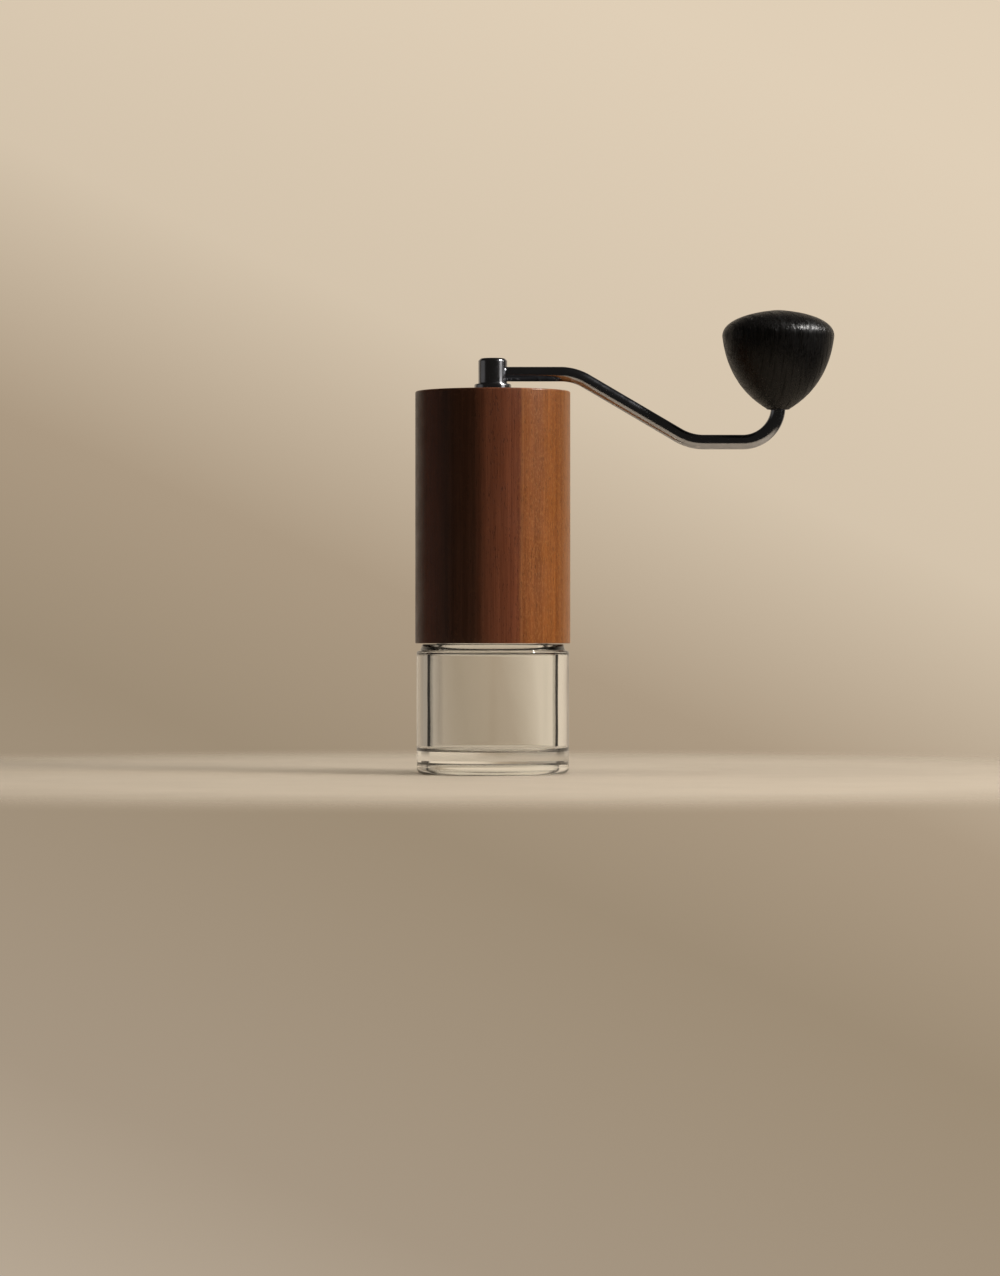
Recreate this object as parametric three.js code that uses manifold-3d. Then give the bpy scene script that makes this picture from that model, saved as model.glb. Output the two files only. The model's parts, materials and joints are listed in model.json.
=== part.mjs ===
// A hand crank coffee grinder: a glass jar that screws into a wooden-sleeved grinding body, and a
// bent steel crank with a turned knob that lifts off together with the lid.
// Millimetres, +Z up. The origin is the centre of the jar's foot, and the crank points along +X.
import * as THREE from 'three';
import { mergeVertices } from 'three/addons/utils/BufferGeometryUtils.js';
import Module from 'manifold-3d';

const wasm = await Module();
wasm.setup();

// ---------------------------------------------------------------- driving sizes

// Clearances
const SEAT_GAP = 0.3; // between two pieces that seat on or in each other
const RUN_GAP = 0.2; // radial, between pieces that turn in each other
const CLOSE_GAP = 0.1; // radial, between pieces that are soldered, pressed or sprung together

// Wooden sleeve, the overall sizes of the grinding body
const SLEEVE_R = 29;
const SLEEVE_H = 94.2;
const SLEEVE_WALL = 3.5;
const SLEEVE_EDGE = 0.6;
const SHELL_WALL = 1.2;
const SHELL_INSET = 0.5; // how far the shell's two ends stop short of the sleeve's

// Jar
const JAR_H = 45.8; // foot to shoulder
const JAR_INSET = 0.5; // how far the jar is inside the sleeve's outline
const JAR_WALL = 5;
const JAR_FLOOR = 8.3;
const JAR_FOOT_EDGE = 1.9;
const JAR_SHOULDER_EDGE = 0.6;
const JAR_CEILING = 0.6; // the jar's inner ceiling is this far below its shoulder
const BEAD_INSET = 1.2;
const BEAD_TAPER = 0.9;
const BEAD_H = 2.5;
const NECK_H = 8.5;
const NECK_WALL = 3;

// Thread between the jar's neck and the collar
const THREAD_PITCH = 3;
const THREAD_LEAD_IN = 2.25; // plain neck below the thread
const THREAD_LEAD_OUT = 1; // plain neck above it
const THREAD_DEPTH = 1;
const THREAD_CREST = 0.7; // width along the axis at the crest
const THREAD_FLANK = 0.45; // how much each flank widens from crest to root
const SEAL_H = 1.2;

// Collar and burr holder
const COLLAR_WALL = 1.5;
const COLLAR_OVER = 1.9; // how far the collar stands above the jar's neck
const RETAINER_H = 2.4;
const CARRIER_WALL = 4.1;
const CARRIER_LIP_H = 2;
const CARRIER_LIP = 2.4; // how far the carrier's lip reaches in over the outer burr

// Burrs
const BURR_H = 12;
const BURR_WALL = 1.7;
const TOOTH_DEPTH = 0.8;
const TEETH = 12;
const TOOTH_TWIST = 0.9; // radians that a tooth winds over the burr's height
const BURR_THROAT = 0.62; // share of the outer burr's height where it is narrowest
const BURR_FLARE = 2.6; // how far the outer burr opens from its throat to its top
const CONE_RISE = 2.3; // how far the inner burr stands above the outer one
const CONE_DROP = 1; // how far the inner burr hangs below the outer one
const CONE_WALL = 1.4; // around the spring's seat in the inner burr's top
const SPRING_SEAT = 6;
const GRIND_UP = 0.9; // the inner burr's travel from rest to its finest setting
const GRIND_DOWN = 1; // and to its coarsest

// Bearings, in two spoked bridges
const BALL_R = 0.95;
const BALLS = 6;
const RACE_WALL = 1; // from a race's face to the bottom of its groove
const BEARING_H = 4;
const BRIDGE_H = 7;
const BRIDGE_RIM = 1.8;
const BRIDGE_HUB_WALL = 2;
const BRIDGE_LIP = 1.1;
const BRIDGE_ARMS = 3;
const BRIDGE_ARM_W = 3.6;
const BRIDGE_ARM_H = 4;

// Shaft
const SHAFT_R = 3.5;
const SHAFT_FLAT = 0.6; // depth of the two flats that drive the inner burr
const CLIP_H = 0.8;
const CLIP_RING = 1.5; // how far a clip stands out of its groove
const GROOVE = 0.5; // depth of a clip's groove
const CLIP_MOUTH = 1.1; // radians, the opening of a clip
const WASHER_H = 0.6;
const SPRING_WIRE_R = 0.45;
const SPRING_COILS = 4;

// Adjusting dial
const DIAL_H = 5.6;
const DIAL_INSET = 4; // room for the grounds between the dial and the jar's neck
const DIAL_GRIPS = 12;
const DIAL_GRIP_R = 1.7;
const CLICK_H = 1.5;
const DETENT_R = 0.9;
const DETENTS = 2;

// Crank
const HUB_WALL = 1.9;
const HUB_CHAMFER = 0.9;
const FLANGE_H = 2.8;
const FLANGE_RIM = 1.5;
const ROD_R = 2.75;
const ROD_OVER_FLANGE = 0.95; // space under the rod
const HUB_OVER_ROD = 5.9; // hub top to the rod's axis
const ROD_WEB = 1.1; // metal between the rod's bore and the shaft's socket
const ARM_OVERHANG = 1.5; // sleeve's outline to the arm's first corner
const ARM_ANGLE = THREE.MathUtils.degToRad(30.4);
const ARM_DROP = 25.4;
const ARM_LOWER = 33; // second corner to the knob's axis
const ARM_BEND_R = 19;
const ARM_END_BEND_R = 13.3;
const GRUB_R = 2;
const GRUB_KEY_R = 1.15;

// Lid
const LID_PLATE = 2.5;
const LID_H = 5;
const LID_SKIRT = 3;
const LID_SINK = 0.4; // lid's top below the sleeve's top
const LID_SEAL_WIRE_R = 0.7;

// Knob
const KNOB_R = 21;
const KNOB_H = 37.6;
const KNOB_LIFT = 12.2; // lower arm's axis to the knob's foot
const KNOB_CURVE_STEPS = 7;
const KNOB_SHOULDER = 0.78; // share of the knob's height where it is widest
const KNOB_FOOT_RIM = 0.45;
// Handles of the knob's two curves and the dome's end, as shares of its radius and height.
const KNOB_FLANK = [[0.2, 0.05], [0.975, 0.22]];
const KNOB_DOME = [[1, 0.8], [0.94, 0.98], [0, 1]];
const KNOB_BUSH_INSET = 0.5;
const KNOB_BUSH_WALL = 0.7;
const KNOB_BUSH_H = 19;

// Facets
const ROUND = 32; // sides of a large turned piece
const SMALL_ROUND = 16; // sides of a small one
const CORNER_STEPS = 2; // facets across a rounded corner

// ---------------------------------------------------------------- sizes that follow

// Radii, from the sleeve inwards
const shellR = SLEEVE_R - SLEEVE_WALL - SEAT_GAP;
const shellBore = shellR - SHELL_WALL;
const insertR = shellBore - SEAT_GAP; // collar, carrier, bridges and lid all fit the shell's bore
const jarR = SLEEVE_R - JAR_INSET;
const jarBore = jarR - JAR_WALL;
const beadR = jarR - BEAD_INSET;
const threadR = insertR - COLLAR_WALL - SEAT_GAP;
const neckR = threadR - THREAD_DEPTH;
const neckBore = neckR - NECK_WALL;
const dialR = neckBore - DIAL_INSET;
const clickR = (dialR + SHAFT_R) / 2;
const burrSeat = insertR - CARRIER_WALL;
const burrR = burrSeat - SEAT_GAP;
const burrMouth = burrR - BURR_WALL - TOOTH_DEPTH;
const retainerBore = burrMouth + TOOTH_DEPTH + CLOSE_GAP;

// Bearing radii, from the shaft outwards
const raceBore = SHAFT_R + RUN_GAP;
const ballPath = raceBore + RACE_WALL + CLOSE_GAP + BALL_R;
const bearingR = ballPath + BALL_R + CLOSE_GAP + RACE_WALL;
const innerRaceR = ballPath - BALL_R / 2 - CLOSE_GAP;
const outerRaceBore = ballPath + BALL_R / 2 + CLOSE_GAP;
const clipR = SHAFT_R + CLIP_RING;

// Spring and inner burr
const springR = SHAFT_R + 2 * RUN_GAP + SPRING_WIRE_R;
const springSeatR = springR + SPRING_WIRE_R + SEAT_GAP;
const coneTopR = springSeatR + CONE_WALL;
const coneH = CONE_DROP + BURR_H + CONE_RISE;
const coneSlope = (burrMouth - coneTopR - SEAT_GAP) / (coneH + GRIND_UP);
const grindGap = GRIND_UP * coneSlope + SEAT_GAP;
const coneBottomR = burrMouth - grindGap;

// Heights, from the foot upwards
const beadTop = JAR_H + BEAD_H;
const neckTop = beadTop + NECK_H;
const sleeveBottom = beadTop + SEAT_GAP;
const sleeveTop = sleeveBottom + SLEEVE_H;
const sealBottom = beadTop + SEAT_GAP;
const collarBottom = sealBottom + SEAL_H + SEAT_GAP;
const collarTop = neckTop + COLLAR_OVER;
const retainerBottom = collarTop + SEAT_GAP;
const burrBottom = retainerBottom + RETAINER_H + SEAT_GAP;
const burrTop = burrBottom + BURR_H;
const carrierTop = burrTop + SEAT_GAP + CARRIER_LIP_H;
const lowerBridgeBottom = carrierTop + SEAT_GAP;
const coneBottom = burrBottom - CONE_DROP;
const coneTop = coneBottom + coneH;
const clickBottom = coneBottom - SEAT_GAP - CLICK_H;
const dialTop = clickBottom - SEAT_GAP;
const dialBottom = dialTop - DIAL_H;
const dialClipZ = dialBottom - GRIND_DOWN - SEAT_GAP - CLIP_H;
const shaftBottom = dialClipZ - CLIP_H;
const lidTop = sleeveTop - LID_SINK;
const lidBottom = lidTop - LID_H;
const upperBridgeBottom = lidBottom - SEAT_GAP - BRIDGE_H;
const bearingLift = BRIDGE_H - BRIDGE_LIP - SEAT_GAP - BEARING_H; // bearing above its bridge's foot
const lowerBearingTop = lowerBridgeBottom + bearingLift + BEARING_H;
const upperBearingTop = upperBridgeBottom + bearingLift + BEARING_H;
const lowerClipZ = lowerBearingTop + CLOSE_GAP;
const upperClipZ = upperBearingTop + CLOSE_GAP;
const washerBottom = lowerBridgeBottom + bearingLift - CLOSE_GAP - WASHER_H;

// Crank
const hubR = SHAFT_R + HUB_WALL;
const rodZ = sleeveTop + FLANGE_H + ROD_OVER_FLANGE + ROD_R;
const hubTop = rodZ + HUB_OVER_ROD;
const hubBottom = lidBottom + SEAT_GAP;
const rodBore = ROD_R + CLOSE_GAP;
const socketTop = rodZ - rodBore - ROD_WEB;
const shaftTop = socketTop - SEAT_GAP;
const lidClipZ = lidTop - LID_PLATE - SEAT_GAP - CLIP_H;
const elbowX = SLEEVE_R + ARM_OVERHANG;
const kneeX = elbowX + ARM_DROP / Math.tan(ARM_ANGLE);
const knobX = kneeX + ARM_LOWER;
const armZ = rodZ - ARM_DROP;
const knobZ = armZ + KNOB_LIFT;
const bushBore = ROD_R + RUN_GAP;
const bushR = bushBore + KNOB_BUSH_WALL;
const knobBore = bushR + CLOSE_GAP;
const knobBushZ = knobZ + KNOB_BUSH_INSET;
const knobClipZ = knobBushZ + KNOB_BUSH_H + SEAT_GAP;
const rodEndZ = knobClipZ + 2 * CLIP_H;
const knobBoreH = rodEndZ + SEAT_GAP - knobZ;

// ---------------------------------------------------------------- materials

function finish(color, roughness, metalness, more = {}) {
  return new THREE.MeshStandardMaterial({ color, roughness, metalness, ...more });
}

const glass = finish(0xe8e6df, 0.05, 0, { transparent: true, opacity: 0.35 });
const wood = finish(0x8a5530, 0.5, 0);
const blackWood = finish(0x141312, 0.45, 0);
const darkSteel = finish(0x3a3a3c, 0.22, 1);
const burrSteel = finish(0x8e8f92, 0.35, 1);
const brightSteel = finish(0xc9cacb, 0.25, 1);
const satinAluminium = finish(0xb9babc, 0.42, 1);
const bronze = finish(0xb08a4e, 0.4, 1);
const blackPlastic = finish(0x1c1c1d, 0.55, 0);
const silicone = finish(0xd8d4ca, 0.7, 0);

// ---------------------------------------------------------------- geometry helpers

// Geometry to a manifold-3d solid, with shared vertices merged and slivers dropped.
function solid(geometry) {
  const bare = geometry.index ? geometry.toNonIndexed() : geometry.clone();
  bare.deleteAttribute('normal');
  bare.deleteAttribute('uv');
  const merged = mergeVertices(bare, 1e-4);
  const triVerts = [];
  for (let i = 0; i < merged.index.count; i += 3) {
    const [a, b, c] = [0, 1, 2].map((k) => merged.index.getX(i + k));
    if (a !== b && b !== c && c !== a) triVerts.push(a, b, c);
  }
  return new wasm.Manifold(new wasm.Mesh({
    numProp: 3,
    vertProperties: merged.attributes.position.array,
    triVerts: new Uint32Array(triVerts),
  }));
}

function geometryOf(shape) {
  const mesh = shape.getMesh();
  const geometry = new THREE.BufferGeometry();
  geometry.setAttribute('position', new THREE.BufferAttribute(mesh.vertProperties, 3));
  geometry.setIndex(new THREE.BufferAttribute(mesh.triVerts, 1));
  geometry.computeVertexNormals();
  return geometry;
}

// The first geometry less the others, or joined to them.
function cut(geometry, ...tools) {
  return geometryOf(tools.reduce((shape, tool) => shape.subtract(solid(tool)), solid(geometry)));
}

function join(geometry, ...others) {
  return geometryOf(others.reduce((shape, other) => shape.add(solid(other)), solid(geometry)));
}

// A turned piece from its half section: [radius, height] corners, and a third number rounds one.
function turned(corners, sides = ROUND) {
  const points = corners.map(([r, z]) => new THREE.Vector2(r, z));
  const outline = corners.flatMap(([, , round = 0], i) => {
    if (!round) return [points[i]];
    const from = points[(i + points.length - 1) % points.length];
    const to = points[(i + 1) % points.length];
    const start = points[i].clone().add(from.clone().sub(points[i]).setLength(round));
    const end = points[i].clone().add(to.clone().sub(points[i]).setLength(round));
    return new THREE.QuadraticBezierCurve(start, points[i], end).getPoints(CORNER_STEPS);
  });
  if (outline[0].x > 0) outline.push(outline[0].clone());
  if (THREE.ShapeUtils.area(outline) < 0) outline.reverse();
  return new THREE.LatheGeometry(outline, sides).rotateX(Math.PI / 2);
}

function ring(bore, radius, height, sides = ROUND) {
  return turned([[bore, 0], [radius, 0], [radius, height], [bore, height]], sides);
}

function rod(radius, height, sides = SMALL_ROUND) {
  return new THREE.CylinderGeometry(radius, radius, height, sides)
    .rotateX(Math.PI / 2)
    .translate(0, 0, height / 2);
}

// Copies of one shape, evenly spaced about the axis.
function around(count, make) {
  return Array.from({ length: count }, (_, i) => make().rotateZ((i * 2 * Math.PI) / count));
}

// A closed skin over rings of points: all rings hold the same number, and each end is filled by a fan.
function skin(rings) {
  const size = rings[0].length;
  const middle = (points) => points
    .reduce((sum, p) => sum.add(p), new THREE.Vector3())
    .divideScalar(size);
  const points = [...rings.flat(), middle(rings[0]), middle(rings.at(-1))];
  const index = [];
  for (let i = 0; i + 1 < rings.length; i++) {
    for (let k = 0; k < size; k++) {
      const a = i * size + k;
      const b = i * size + ((k + 1) % size);
      index.push(a, b, b + size, b + size, a + size, a);
    }
  }
  const last = (rings.length - 1) * size;
  for (let k = 0; k < size; k++) {
    const next = (k + 1) % size;
    index.push(points.length - 2, next, k, points.length - 1, last + k, last + next);
  }
  const geometry = new THREE.BufferGeometry().setFromPoints(points);
  geometry.setIndex(index);
  return geometry;
}

// A right-hand screw thread's ridge: a trapezoid carried up a helix, fading out at both ends.
// It starts under the ridge's root, so that it joins the neck that carries it.
function threadRidge(rootR, depth, crestHalf, rootHalf, turns, startZ) {
  const bite = 0.4;
  const fade = ROUND / 8;
  const steps = Math.round(turns * ROUND);
  const rings = Array.from({ length: steps + 1 }, (_, i) => {
    const angle = (i * 2 * Math.PI) / ROUND;
    const z = startZ + (THREAD_PITCH * i) / ROUND;
    const crestR = rootR + depth * Math.min(1, (i + 1) / fade, (steps - i + 1) / fade);
    const section = [
      [rootR - bite, -rootHalf],
      [rootR - bite, rootHalf],
      [crestR, crestHalf],
      [crestR, -crestHalf],
    ];
    return section.map(([r, dz]) => new THREE.Vector3(
      r * Math.cos(angle), r * Math.sin(angle), z + dz,
    ));
  });
  return skin(rings);
}

// A round bar along a path that is straight but for its bends. Each corner has a bend radius.
class BentPath extends THREE.Curve {
  constructor(corners, stepsPerBend = 5) {
    super();
    this.points = corners.flatMap(([x, z, bendR], i) => {
      const here = new THREE.Vector3(x, 0, z);
      if (!bendR) return [here];
      const at = (j) => new THREE.Vector3(corners[j][0], 0, corners[j][1]);
      const inward = at(i - 1).sub(here).normalize();
      const outward = at(i + 1).sub(here).normalize();
      const half = inward.angleTo(outward) / 2;
      const centre = here.clone().add(
        inward.clone().add(outward).setLength(bendR / Math.sin(half)),
      );
      const tangent = bendR / Math.tan(half);
      const from = here.clone().addScaledVector(inward, tangent).sub(centre);
      const turn = Math.PI - 2 * half;
      const axis = inward.clone().negate().cross(outward).normalize();
      return Array.from({ length: stepsPerBend + 1 }, (_, k) => from
        .clone()
        .applyAxisAngle(axis, (turn * k) / stepsPerBend)
        .add(centre));
    });
  }

  get steps() {
    return this.points.length - 1;
  }

  getPoint(t) {
    const at = THREE.MathUtils.clamp(t * this.steps, 0, this.steps);
    const i = Math.min(Math.floor(at), this.steps - 1);
    return this.points[i].clone().lerp(this.points[i + 1], at - i);
  }

  // Steps fall on the path's own points, so that none is spent on a straight stretch.
  getUtoTmapping(u) {
    return u;
  }
}

// An open ring of round or square wire that snaps into a groove.
function snapRing(bore, radius, height, mouth = CLIP_MOUTH) {
  const shape = new THREE.Shape();
  shape.absarc(0, 0, radius, mouth / 2, 2 * Math.PI - mouth / 2, false);
  shape.absarc(0, 0, bore, 2 * Math.PI - mouth / 2, mouth / 2, true);
  shape.closePath();
  return new THREE.ExtrudeGeometry(shape, {
    depth: height, bevelEnabled: false, curveSegments: 6,
  });
}

// The tool that cuts a clip's groove into a round bar.
function groove(radius, height) {
  return ring(radius - GROOVE, radius + 1, height, SMALL_ROUND);
}

// A round bar or bore with two flats, of a given height.
function twoFlats(radius, height) {
  const flat = radius - SHAFT_FLAT;
  const shape = new THREE.Shape();
  const corner = Math.acos(flat / radius);
  shape.absarc(0, 0, radius, corner, Math.PI - corner, false);
  shape.absarc(0, 0, radius, Math.PI + corner, 2 * Math.PI - corner, false);
  shape.closePath();
  return new THREE.ExtrudeGeometry(shape, {
    depth: height, bevelEnabled: false, curveSegments: SMALL_ROUND / 3,
  });
}

const parts = new THREE.Group();

// Adds one named piece, at a height above its parent's own zero.
function add(name, geometry, material, z = 0, parent = parts) {
  const mesh = new THREE.Mesh(geometry, material);
  mesh.name = name;
  mesh.position.z = z;
  parent.add(mesh);
  return mesh;
}

// ---------------------------------------------------------------- jar and its seal

const threadHalf = THREAD_CREST / 2;
const threadStart = beadTop + THREAD_LEAD_IN;
const threadTurns = (NECK_H - THREAD_LEAD_IN - THREAD_LEAD_OUT) / THREAD_PITCH;

function jar() {
  const ceiling = JAR_H - JAR_CEILING;
  const body = turned([
    [0, 0],
    [jarR, 0, JAR_FOOT_EDGE],
    [jarR, JAR_H, JAR_SHOULDER_EDGE],
    [beadR, JAR_H],
    [beadR - BEAD_TAPER, beadTop],
    [neckR, beadTop],
    [neckR, neckTop, 0.5],
    [neckBore, neckTop],
    [neckBore, ceiling],
    [jarBore, ceiling],
    [jarBore, JAR_FLOOR, 1.2],
    [0, JAR_FLOOR],
  ]);
  const ridge = threadRidge(
    neckR, THREAD_DEPTH, threadHalf, threadHalf + THREAD_FLANK, threadTurns, threadStart,
  );
  return join(body, ridge);
}

function jarSeal() {
  return ring(threadR + SEAT_GAP, insertR, SEAL_H);
}

// ---------------------------------------------------------------- shell and collar

function sleeve() {
  const bore = SLEEVE_R - SLEEVE_WALL;
  return turned([
    [bore, 0],
    [SLEEVE_R, 0],
    [SLEEVE_R, SLEEVE_H, SLEEVE_EDGE],
    [bore, SLEEVE_H],
  ]);
}

// A nut for the jar's thread. Its groove starts whole turns below the ridge, so the two match.
function collar() {
  const bore = neckR + SEAT_GAP;
  const blank = ring(bore, insertR, collarTop - collarBottom);
  const turnsBelow = Math.ceil((threadStart - collarBottom) / THREAD_PITCH) + 1;
  const turns = turnsBelow + threadTurns + 0.5;
  const cutter = threadRidge(
    bore,
    THREAD_DEPTH,
    threadHalf + SEAT_GAP,
    threadHalf + THREAD_FLANK + SEAT_GAP,
    turns,
    threadStart - collarBottom - turnsBelow * THREAD_PITCH,
  );
  return cut(blank, cutter);
}

// ---------------------------------------------------------------- outer burr and its holder

const screwCircle = (burrR + insertR) / 2 + 0.1;
const screwHeadR = (insertR - burrR) / 2 - 0.4;
const screwShankR = screwHeadR * 0.6;
const screwKeyR = screwShankR * 0.7;
const SCREW_KEY_DEPTH = 0.7;
const screwHeadH = RETAINER_H * 0.55;
const screwReach = 5;
const SCREWS = 3;

function retainer() {
  const holes = around(SCREWS, () => rod(screwShankR + CLOSE_GAP, 2 * RETAINER_H, 12)
    .translate(screwCircle, 0, -RETAINER_H / 2));
  const heads = around(SCREWS, () => rod(screwHeadR + CLOSE_GAP, screwHeadH + 1, 12)
    .translate(screwCircle, 0, -1));
  return cut(ring(retainerBore, insertR, RETAINER_H), ...holes, ...heads);
}

function burrScrew() {
  const head = screwHeadH - CLOSE_GAP;
  const body = turned([
    [0, 0],
    [screwHeadR, 0, 0.25],
    [screwHeadR, head],
    [screwShankR, head],
    [screwShankR, head + screwReach],
    [0, head + screwReach],
  ], 12);
  const key = new THREE.CylinderGeometry(screwKeyR, screwKeyR, 2 * SCREW_KEY_DEPTH, 6)
    .rotateX(Math.PI / 2);
  return cut(body, key);
}

function carrier() {
  const height = carrierTop - burrBottom;
  const blank = turned([
    [burrSeat, 0],
    [insertR, 0],
    [insertR, height],
    [burrSeat - CARRIER_LIP, height, 0.6],
    [burrSeat - CARRIER_LIP, height - CARRIER_LIP_H],
    [burrSeat, height - CARRIER_LIP_H],
  ]);
  const taps = around(SCREWS, () => rod(screwShankR + CLOSE_GAP, screwReach + 2, 12)
    .translate(screwCircle, 0, -1));
  return cut(blank, ...taps);
}

// A burr's toothed flank: at each [radius, height] the skin falls back from that radius into the
// teeth, steeply on one side of each tooth and slowly on the other, and the teeth wind upwards.
// A positive depth cuts inwards, for teeth on the outside, and a negative one outwards.
function toothed(levels, depth, height) {
  const samples = 5;
  const rise = 0.3; // share of a tooth taken by its steep side
  const fall = (share) => (share < rise ? 1 - share / rise : (share - rise) / (1 - rise));
  const rings = levels.map(([radius, z]) => Array.from({ length: TEETH * samples }, (_, k) => {
    const turn = k / samples;
    const angle = (turn * 2 * Math.PI) / TEETH + (TOOTH_TWIST * z) / height;
    const r = radius - depth * fall(turn % 1);
    return new THREE.Vector3(r * Math.cos(angle), r * Math.sin(angle), z);
  }));
  return skin(rings);
}

function outerBurr() {
  const throatZ = BURR_H * BURR_THROAT;
  const throatR = burrMouth - coneSlope * throatZ;
  const flareR = throatR + BURR_FLARE;
  const levels = [
    [burrMouth + coneSlope, -1],
    [burrMouth - (coneSlope * throatZ) / 2, throatZ / 2],
    [throatR, throatZ],
    [flareR, BURR_H + 1],
  ];
  return cut(rod(burrR, BURR_H, ROUND), toothed(levels, -TOOTH_DEPTH, BURR_H));
}

// ---------------------------------------------------------------- inner burr and dial

function innerBurr() {
  const levels = [0, 0.5, 1].map((share) => [
    coneBottomR + (coneTopR - coneBottomR) * share,
    coneH * share,
  ]);
  const seat = rod(springSeatR, SPRING_SEAT + 1).translate(0, 0, coneH - SPRING_SEAT);
  const bore = twoFlats(SHAFT_R + CLOSE_GAP, coneH + 2).translate(0, 0, -1);
  return cut(toothed(levels, TOOTH_DEPTH, coneH), seat, bore);
}

const detentCircle = (clickR + SHAFT_R) / 2;

function clickPlate() {
  const bore = twoFlats(SHAFT_R + CLOSE_GAP, CLICK_H + 2).translate(0, 0, -1);
  const pockets = around(DETENTS, () => rod(DETENT_R + CLOSE_GAP, CLICK_H + 2, 12)
    .translate(detentCircle, 0, -1));
  return cut(rod(clickR, CLICK_H, ROUND), bore, ...pockets);
}

function detentBall(i) {
  const angle = (i * 2 * Math.PI) / DETENTS;
  return new THREE.SphereGeometry(DETENT_R, 8, 6)
    .translate(detentCircle * Math.cos(angle), detentCircle * Math.sin(angle), CLICK_H / 2);
}

function dial() {
  const blank = turned([
    [0, 0],
    [dialR, 0, 0.8],
    [dialR, DIAL_H, 0.5],
    [0, DIAL_H],
  ]);
  const bore = rod(SHAFT_R + RUN_GAP, DIAL_H + 2).translate(0, 0, -1);
  const grips = around(DIAL_GRIPS, () => rod(DIAL_GRIP_R, DIAL_H, 8)
    .translate(dialR + DIAL_GRIP_R / 2, 0, -1));
  return cut(blank, bore, ...grips);
}

// ---------------------------------------------------------------- bridges and bearings

// A spoked ring that presses into the shell and holds a bearing under its hub's lip.
function bridge() {
  const hubBore = bearingR + CLOSE_GAP;
  const hubOuter = hubBore + BRIDGE_HUB_WALL;
  const rimBore = insertR - BRIDGE_RIM;
  const rim = ring(rimBore, insertR, BRIDGE_H);
  const armLength = rimBore - hubOuter + 2;
  const arms = around(BRIDGE_ARMS, () => new THREE.BoxGeometry(
    armLength, BRIDGE_ARM_W, BRIDGE_ARM_H,
  ).translate(hubOuter - 1 + armLength / 2, 0, BRIDGE_H - BRIDGE_ARM_H / 2 - BRIDGE_LIP));
  const hub = turned([
    [hubBore, bearingLift],
    [hubOuter, bearingLift],
    [hubOuter, BRIDGE_H, 1],
    [outerRaceBore, BRIDGE_H],
    [outerRaceBore, BRIDGE_H - BRIDGE_LIP],
    [hubBore, BRIDGE_H - BRIDGE_LIP],
  ], SMALL_ROUND);
  return join(rim, ...arms, hub);
}

// Race sections have a groove for the balls, cut a little deeper than the ball.
function race(faceR, grooveR, farR) {
  const middle = BEARING_H / 2;
  const half = BALL_R * 0.9;
  return turned([
    [farR, 0],
    [faceR, 0],
    [faceR, middle - half],
    [grooveR, middle - half / 3],
    [grooveR, middle + half / 3],
    [faceR, middle + half],
    [faceR, BEARING_H],
    [farR, BEARING_H],
  ], SMALL_ROUND);
}

function innerRace() {
  return race(innerRaceR, raceBore + RACE_WALL, raceBore);
}

function outerRace() {
  return race(outerRaceBore, bearingR - RACE_WALL, bearingR);
}

function cagedBalls() {
  const cageHalf = (outerRaceBore - innerRaceR) / 2 - CLOSE_GAP;
  const cage = ring(ballPath - cageHalf, ballPath + cageHalf, 0.7, SMALL_ROUND)
    .translate(0, 0, BEARING_H / 2 - 0.35);
  const balls = around(BALLS, () => new THREE.SphereGeometry(BALL_R, 6, 4)
    .translate(ballPath, 0, BEARING_H / 2));
  return join(cage, ...balls);
}

// ---------------------------------------------------------------- shaft and spring

// A round bar with a hexagonal head, flats for the inner burr and a groove for each clip.
function shaft() {
  const driveBottom = upperClipZ + 2 * CLIP_H;
  const at = (z) => z - shaftBottom;
  const bar = rod(SHAFT_R, at(driveBottom), SMALL_ROUND);
  const head = new THREE.CylinderGeometry(
    SHAFT_R - RUN_GAP, SHAFT_R - RUN_GAP, shaftTop - driveBottom + 1, 6,
  ).rotateX(Math.PI / 2).translate(0, 0, at((shaftTop + driveBottom - 1) / 2));
  const flatTop = coneTop + GRIND_UP - SPRING_SEAT + SEAT_GAP;
  const flatBottom = dialTop - GRIND_DOWN - SEAT_GAP;
  const flatH = flatTop - flatBottom;
  const flats = [1, -1].map((side) => new THREE.BoxGeometry(2, 4 * SHAFT_R, flatH)
    .translate(side * (SHAFT_R - SHAFT_FLAT + 1), 0, at(flatBottom + flatH / 2)));
  const grooves = [dialClipZ, lowerClipZ, upperClipZ].map((z) => groove(SHAFT_R, CLIP_H + 2 * CLOSE_GAP)
    .translate(0, 0, at(z - CLOSE_GAP)));
  return cut(join(bar, head), ...flats, ...grooves);
}

function shaftClip() {
  return snapRing(SHAFT_R - GROOVE + SEAT_GAP, clipR, CLIP_H);
}

const COIL_EASING = 0.15; // the smaller, the closer the end coils lie

// A compression spring with flat-ended coils between the inner burr and the lower bearing.
class CoilPath extends THREE.Curve {
  constructor(radius, height, coils) {
    super();
    Object.assign(this, { radius, height, coils });
  }

  getPoint(t) {
    const angle = 2 * Math.PI * this.coils * t;
    const eased = (at) => THREE.MathUtils.smootherstep(at, -COIL_EASING, 1 + COIL_EASING);
    const rise = (eased(t) - eased(0)) / (eased(1) - eased(0));
    return new THREE.Vector3(
      this.radius * Math.cos(angle),
      this.radius * Math.sin(angle),
      this.height * rise,
    );
  }
}

const springBottom = coneTop - SPRING_SEAT + SPRING_WIRE_R + CLOSE_GAP;
const springH = washerBottom - CLOSE_GAP - SPRING_WIRE_R - springBottom;

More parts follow.
